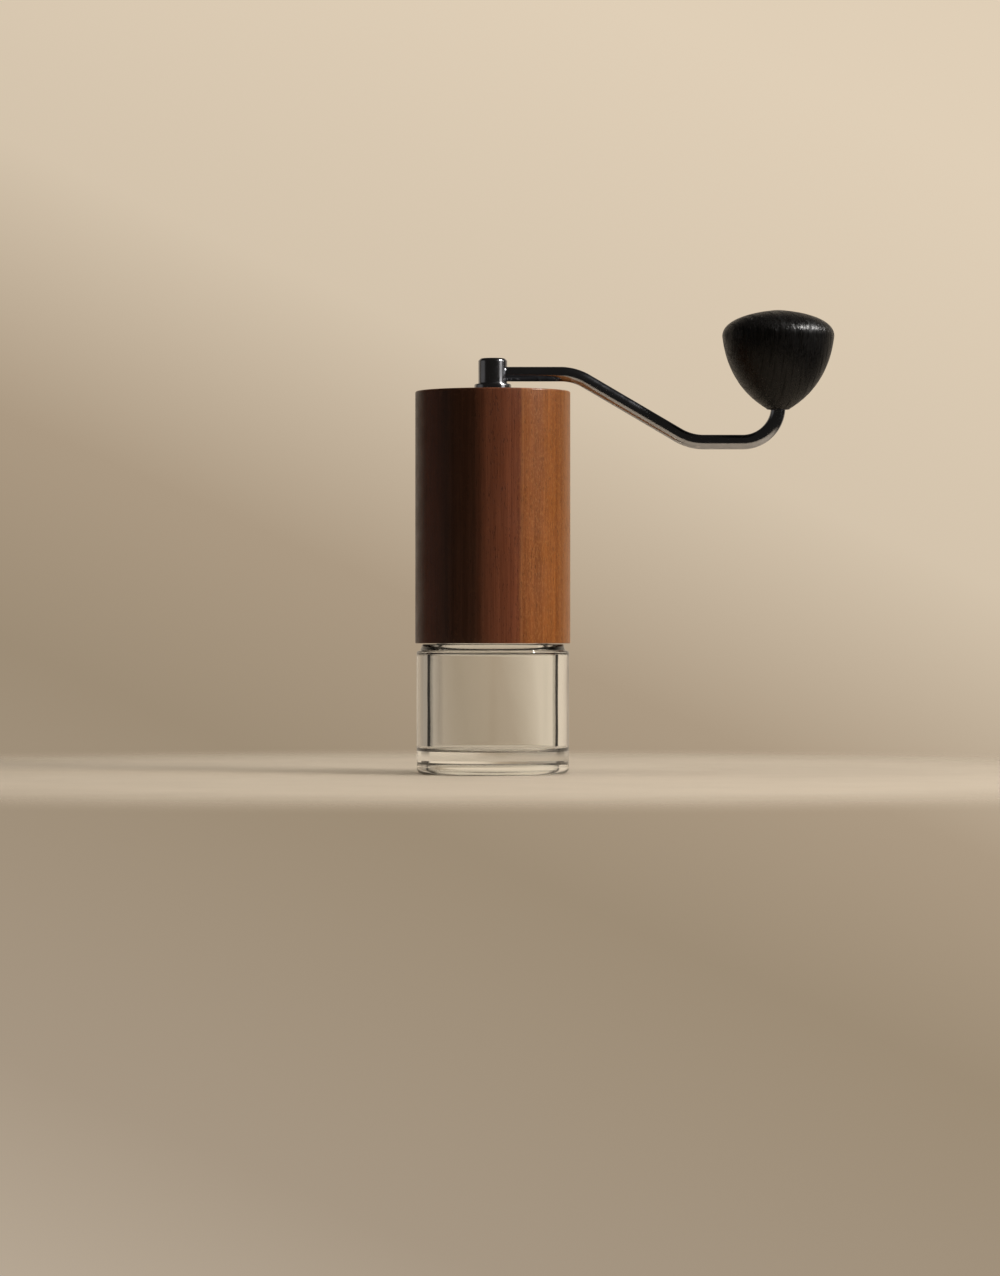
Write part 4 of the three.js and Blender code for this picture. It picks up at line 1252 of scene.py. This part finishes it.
# Down in the grooves the colour is darker, by the groove depth stored on the points.
deep = sum_of(tree, "MULTIPLY", groove, 2.0, clamp=True)
stain = blend_colours(tree, deep, high_wood, (0.0012, 0.0011, 0.0010))
rubbed = use(tree, worn, {"Position": spot, "Reach": 0.06, "Break Up": 0.5})["Mask"]
stain = blend_colours(tree, sum_of(tree, "MULTIPLY", rubbed, 0.15), stain, (0.03, 0.027, 0.025))
touched = use(tree, handled, {"Position": spot, "Patch Size": 11.0})["Smudge"]
polish = remap(tree, touched, 0.0, 1.0, 0.16, 0.24)
rough = sum_of(tree, "MULTIPLY_ADD", grain["Fibre"], 0.16, polish)
height = sum_of(tree, "SUBTRACT", sum_of(tree, "MULTIPLY", grain["Fibre"], -0.7), grain["Pores"])
feed(
    tree,
    shader,
    Base_Color=stain,
    Roughness=sum_of(tree, "MULTIPLY_ADD", groove, 0.45, rough),
    Specular_IOR_Level=0.2,
    Normal=bumped(tree, height, 0.06),
)

# %% [markdown]
# ## Clear glass
#
# Pressed glass has a faint wave in its skin from the mould, which makes the lines seen through it
# swim a little. Its colour and its transmission stay plain numbers.

# %% Glass
glass, tree, shader, spot = begin("pressed_clear_glass")
ripple = noise(tree, stretch(tree, spot, (1.0, 1.0, 0.6)), 0.09, 1.0)
feed(
    tree,
    shader,
    Base_Color=(0.985, 0.992, 0.985),
    Roughness=0.0,
    IOR=1.5,
    Transmission_Weight=1.0,
    Normal=bumped(tree, ripple, 0.05),
)

# %% [markdown]
# ## Metals
#
# The metals differ in colour, in gloss and in how deep the tool's lines are. They share one
# recipe: lathe lines in the height, smudges in the roughness, and edges rubbed brighter.

# %% Metals


def metal(name, colour, edge_colour, rough, smudged, pitch, depth, axis=0.0, soot=0.0):
    """Roughness runs from rough to rough + smudged; soot darkens the finish in soft patches."""
    material, tree, shader, spot = begin(name)
    marks = use(tree, lathe, {"Position": spot, "Axis X": axis, "Pitch": pitch})["Height"]
    touched = use(tree, handled, {"Position": spot, "Patch Size": 6.0})
    rubbed = use(tree, worn, {"Position": spot, "Reach": 0.05, "Break Up": 0.5})["Mask"]
    dark = tuple(c * (1 - soot) for c in colour)
    toned = blend_colours(tree, touched["Smudge"], colour, dark)
    feed(
        tree,
        shader,
        Base_Color=blend_colours(tree, rubbed, toned, edge_colour),
        Metallic=1.0,
        Roughness=remap(tree, touched["Smudge"], 0.0, 1.0, rough, rough + smudged),
        Normal=bumped(tree, marks, depth),
    )
    return material


gunmetal = metal(
    "gunmetal_plating",
    (0.42, 0.42, 0.44),
    edge_colour=(0.55, 0.55, 0.56),
    rough=0.15,
    smudged=0.06,
    pitch=0.5,
    depth=0.001,
    soot=0.12,
)
drawn_bar = metal(
    "gunmetal_drawn_bar",
    (0.44, 0.45, 0.48),
    edge_colour=(0.55, 0.55, 0.57),
    rough=0.13,
    smudged=0.06,
    pitch=2.0,
    depth=0.0003,
    soot=0.12,
)
tool_steel = metal(
    "ground_tool_steel",
    (0.42, 0.41, 0.40),
    edge_colour=(0.62, 0.61, 0.60),
    rough=0.28,
    smudged=0.14,
    pitch=0.18,
    depth=0.006,
    soot=0.25,
)
polished = metal(
    "bright_steel",
    (0.60, 0.59, 0.575),
    edge_colour=(0.72, 0.71, 0.70),
    rough=0.20,
    smudged=0.10,
    pitch=0.22,
    depth=0.004,
    soot=0.1,
)
alloy = metal(
    "machined_aluminium",
    (0.78, 0.78, 0.78),
    edge_colour=(0.88, 0.88, 0.88),
    rough=0.30,
    smudged=0.10,
    pitch=0.3,
    depth=0.006,
    soot=0.1,
)
oiled_bronze = metal(
    "oiled_bronze",
    (0.47, 0.27, 0.12),
    edge_colour=(0.66, 0.42, 0.20),
    rough=0.32,
    smudged=0.14,
    pitch=0.2,
    depth=0.005,
    axis=knob_x / MM,
    soot=0.3,
)

# %% [markdown]
# ## Plastic and rubber
#
# The lid and the dial are moulded in black plastic with a spark-eroded texture, a fine even
# grain. The seals are pale silicone, which is matt and a little cloudy.

# %% Plastic and rubber


def moulded(name, colour, worn_colour, rough, grain_size, depth, soft=0.0):
    """A fine even grain, handled patches, and paler edges."""
    material, tree, shader, spot = begin(name)
    texture = noise(tree, spot, 1 / grain_size, 2.0, 0.5)
    touched = use(tree, handled, {"Position": spot, "Patch Size": 8.0})
    rubbed = use(tree, worn, {"Position": spot, "Reach": 0.05, "Break Up": 0.7})["Mask"]
    tinted = blend_colours(tree, sum_of(tree, "MULTIPLY", rubbed, 0.6), colour, worn_colour)
    dust = sum_of(tree, "MULTIPLY", touched["Dust"], 0.15)
    dusty = blend_colours(tree, dust, tinted, (0.3, 0.27, 0.24))
    feed(
        tree,
        shader,
        Base_Color=dusty,
        Roughness=remap(tree, touched["Smudge"], 0.0, 1.0, rough, rough + 0.14),
        Subsurface_Weight=soft,
        Normal=bumped(tree, texture, depth),
    )
    return material


black_plastic = moulded(
    "moulded_black_plastic",
    (0.014, 0.014, 0.015),
    worn_colour=(0.05, 0.05, 0.05),
    rough=0.42,
    grain_size=0.3,
    depth=0.02,
)
pale_silicone = moulded(
    "pale_silicone",
    (0.60, 0.58, 0.53),
    worn_colour=(0.68, 0.66, 0.62),
    rough=0.45,
    grain_size=0.5,
    depth=0.01,
    soft=0.15,
)

# %% [markdown]
# ## Every piece gets its finish
#
# The finish follows the slot that each solid has in the record, so the new pieces and the solids
# that stay are covered by one table.

# %% Assign
finishes = {
    "wood": streaked,
    "black_wood": stained,
    "glass": glass,
    "dark_steel": gunmetal,
    "burr_steel": tool_steel,
    "bright_steel": polished,
    "aluminium": alloy,
    "bronze": oiled_bronze,
    "plastic": black_plastic,
    "silicone": pale_silicone,
}


def cover(thing, material):
    """One material over the whole mesh."""
    thing.data.materials.clear()
    thing.data.materials.append(material)


for row in frame["record"]["subparts"]:
    cover(frame["nodes"][row["node"]], finishes[row["material_slot"]])
for made, slot in made_pieces:
    cover(made, finishes[slot])
cover(rod, drawn_bar)
print("finishes:", len(finishes), "on", len(made_pieces), "new pieces and the solids that stay")

# %% [markdown]
# # The studio
#
# The grinder stands on a plain pale floor whose rim fades away, in front of a warm wall. The wall
# is bright behind the piece and the room in front is dim, with a grey card far to the left.
# Polished metal and glass show what is round them, so what they reflect is drawn too: the world
# gives the wall to the camera, with a soft diagonal band of painted shadow across it, and a dimmer
# room with a bright back to reflections. Light that has been through glass sees that wall darker
# still on the left, which is painted shade too. Two narrow black flags stand at the wall's edges.
# Only light that has been through glass sees them, and they draw the dark lines that tell the eye
# where a clear wall begins.

# %% Floor
FLOOR_R, FLOOR_FADE, FLOOR_DROP = 0.42, 0.20, 0.0002
FLOOR_RINGS, FLOOR_SPOKES = 23, 96
reach = np.linspace(0, FLOOR_R, FLOOR_RINGS + 1)[1:, None]
turn = np.linspace(0, 2 * np.pi, FLOOR_SPOKES, endpoint=False)[None, :]
level = 0 * reach * turn - FLOOR_DROP
disc = np.stack([reach * np.cos(turn), reach * np.sin(turn), level], axis=-1)
floor_points = np.vstack([disc.reshape(-1, 3), [[0, 0, -FLOOR_DROP]]])
floor_faces = grid_faces(FLOOR_RINGS, FLOOR_SPOKES, False)
hub_point = FLOOR_RINGS * FLOOR_SPOKES
centre_fan = [[hub_point, k, (k + 1) % FLOOR_SPOKES] for k in range(FLOOR_SPOKES)]
floor_mesh = bpy.data.meshes.new("pale_floor")
floor_mesh.from_pydata(floor_points.tolist(), [], [f[::-1] for f in floor_faces] + centre_fan)
floor = bpy.data.objects.new("pale_floor", floor_mesh)
bpy.context.scene.collection.objects.link(floor)
plaster, tree, shader, spot = begin("pale_plaster")
mottle = noise(tree, spot, 0.03, 4.0)
fine_mottle = noise(tree, spot, 0.8, 3.0)
tone = sum_of(tree, "MULTIPLY_ADD", fine_mottle, 0.25, sum_of(tree, "MULTIPLY", mottle, 0.75))
away = put(tree, "ShaderNodeVectorMath", {0: spot}, operation="LENGTH").outputs["Value"]
feed(
    tree,
    shader,
    Base_Color=blend_colours(tree, tone, (0.47, 0.40, 0.31), (0.58, 0.50, 0.40)),
    Roughness=0.75,
    Alpha=remap(tree, away, FLOOR_FADE / MM, (FLOOR_R - 0.02) / MM, 1.0, 0.0),
    Normal=bumped(tree, fine_mottle, 0.05),
)
cover(floor, plaster)

# %% World
world = bpy.data.worlds.new("warm_studio")
bpy.context.scene.world = world
world.use_nodes = True
tree = world.node_tree
tree.nodes.clear()
way = put(tree, "ShaderNodeTexCoord").outputs["Generated"]
way_parts = put(tree, "ShaderNodeSeparateXYZ", {0: way}).outputs
slanted = sum_of(tree, "MULTIPLY_ADD", way_parts[0], 0.45, way_parts[2])
wall_place = sum_of(tree, "MULTIPLY_ADD", slanted, 2.0, 0.5)
# The wall's ramp paints a shadow on it: a soft diagonal darker band, with paler wall above it and a
# little paler wall below.
wall = ramp(
    tree,
    wall_place,
    [
        (0.0, (0.58, 0.49, 0.385)),
        (0.22, (0.38, 0.305, 0.225)),
        (0.40, (0.335, 0.262, 0.180)),
        (0.50, (0.41, 0.320, 0.225)),
        (0.62, (0.66, 0.550, 0.415)),
        (0.80, (0.745, 0.624, 0.474)),
    ],
)
low_enough = remap(tree, way_parts[2], 0.32, 0.6, 1.0, 0.0)
behind = sum_of(tree, "MULTIPLY", remap(tree, way_parts[1], 0.40, 0.85), low_enough)
room = blend_colours(tree, behind, (0.020, 0.018, 0.016), (0.50, 0.425, 0.335))
left_card = remap(tree, way_parts[0], -0.86, -0.97)
room = blend_colours(tree, left_card, room, (0.15, 0.145, 0.14))
flat_way = put(tree, "ShaderNodeCombineXYZ", {0: way_parts[0], 1: way_parts[1]}).outputs[0]
turned_way = put(tree, "ShaderNodeVectorMath", {0: flat_way}, operation="NORMALIZE").outputs[0]
towards = put(tree, "ShaderNodeSeparateXYZ", {0: turned_way}).outputs[1]
past_edge = remap(tree, towards, 0.69, 0.73, 1.0, 0.0)
flag = sum_of(tree, "MULTIPLY", remap(tree, towards, 0.46, 0.50), past_edge)
# Painted shade: the wall seen through glass is darker towards the left.
left_dim = remap(tree, way_parts[0], -0.5, -0.15, 0.62, 1.0)
dimmed = put(tree, "ShaderNodeVectorMath", {0: wall, "Scale": left_dim}, operation="SCALE")
dim_wall = dimmed.outputs[0]
seen_through = blend_colours(tree, flag, dim_wall, (0.006, 0.005, 0.004))
path = put(tree, "ShaderNodeLightPath").outputs
lit = blend_colours(tree, path["Is Transmission Ray"], room, seen_through)
seen = blend_colours(tree, path["Is Camera Ray"], lit, wall)
background = put(tree, "ShaderNodeBackground", {"Color": seen, "Strength": 1.0})
world_out = put(tree, "ShaderNodeOutputWorld")
tree.links.new(background.outputs[0], world_out.inputs["Surface"])

# %% [markdown]
# ## Lamps
#
# A lamp's area sets how soft its shadow and its highlight are. Here light and shine are split.
# The broad lamp on the right and the one overhead light the wood, and nothing mirrors them. Two
# cards light nothing and are only mirrored: a strip for the metal, and a small bright one for the
# glint on the knob.

# %% Lamps


def lamp(name, place, aim, size, power, colour, lights=True, shines=True):
    """A square area lamp at a place, turned so that its -Z axis points at the aim. A lamp may only
    light surfaces, without a shine, or may only shine, as a small card in a studio does."""
    data = bpy.data.lights.new(name, "AREA")
    data.shape, data.size, data.energy, data.color = "SQUARE", size, power, colour
    made = bpy.data.objects.new(name, data)
    made.location = place
    away = Vector(place) - Vector(aim)
    made.rotation_euler = away.to_track_quat("Z", "Y").to_euler()
    made.visible_diffuse = lights
    made.visible_glossy = shines
    made.visible_transmission = False
    bpy.context.scene.collection.objects.link(made)
    return made


WARM, PALE = (1.0, 0.95, 0.88), (1.0, 0.97, 0.94)
lamp("broad_lamp", (1.15, -0.70, 0.55), (0.02, 0, 0.09), 0.55, 17.0, WARM, shines=False)
lamp("overhead_lamp", (0.1, -0.1, 1.6), (0, 0, 0), 1.2, 22.0, WARM, shines=False)
lamp("strip_card", (1.15, -0.45, 0.42), (0.02, 0, 0.12), 0.50, 0.85, PALE, lights=False)
lamp("glint_card", (0.715, -0.125, 0.68), (0.107, 0, 0.16), 0.15, 16.0, PALE, lights=False)

# %% [markdown]
# ## Camera
#
# The camera is level, a little below the middle of the piece and well back. Its long lens keeps
# upright lines upright, which a short one close by would spread.

# %% Camera
CAMERA_BACK, CAMERA_UP, CAMERA_SIDE, LENS = 1.70, 0.0506, 0.0027, 128.2
camera_data = bpy.data.cameras.new("camera")
camera_data.lens = LENS
camera = bpy.data.objects.new("camera", camera_data)
camera.location = (CAMERA_SIDE, -CAMERA_BACK, CAMERA_UP)
camera.rotation_euler = (np.pi / 2, 0, 0)
bpy.context.scene.collection.objects.link(camera)
bpy.context.scene.camera = camera
bpy.context.scene.view_settings.view_transform = "Standard"
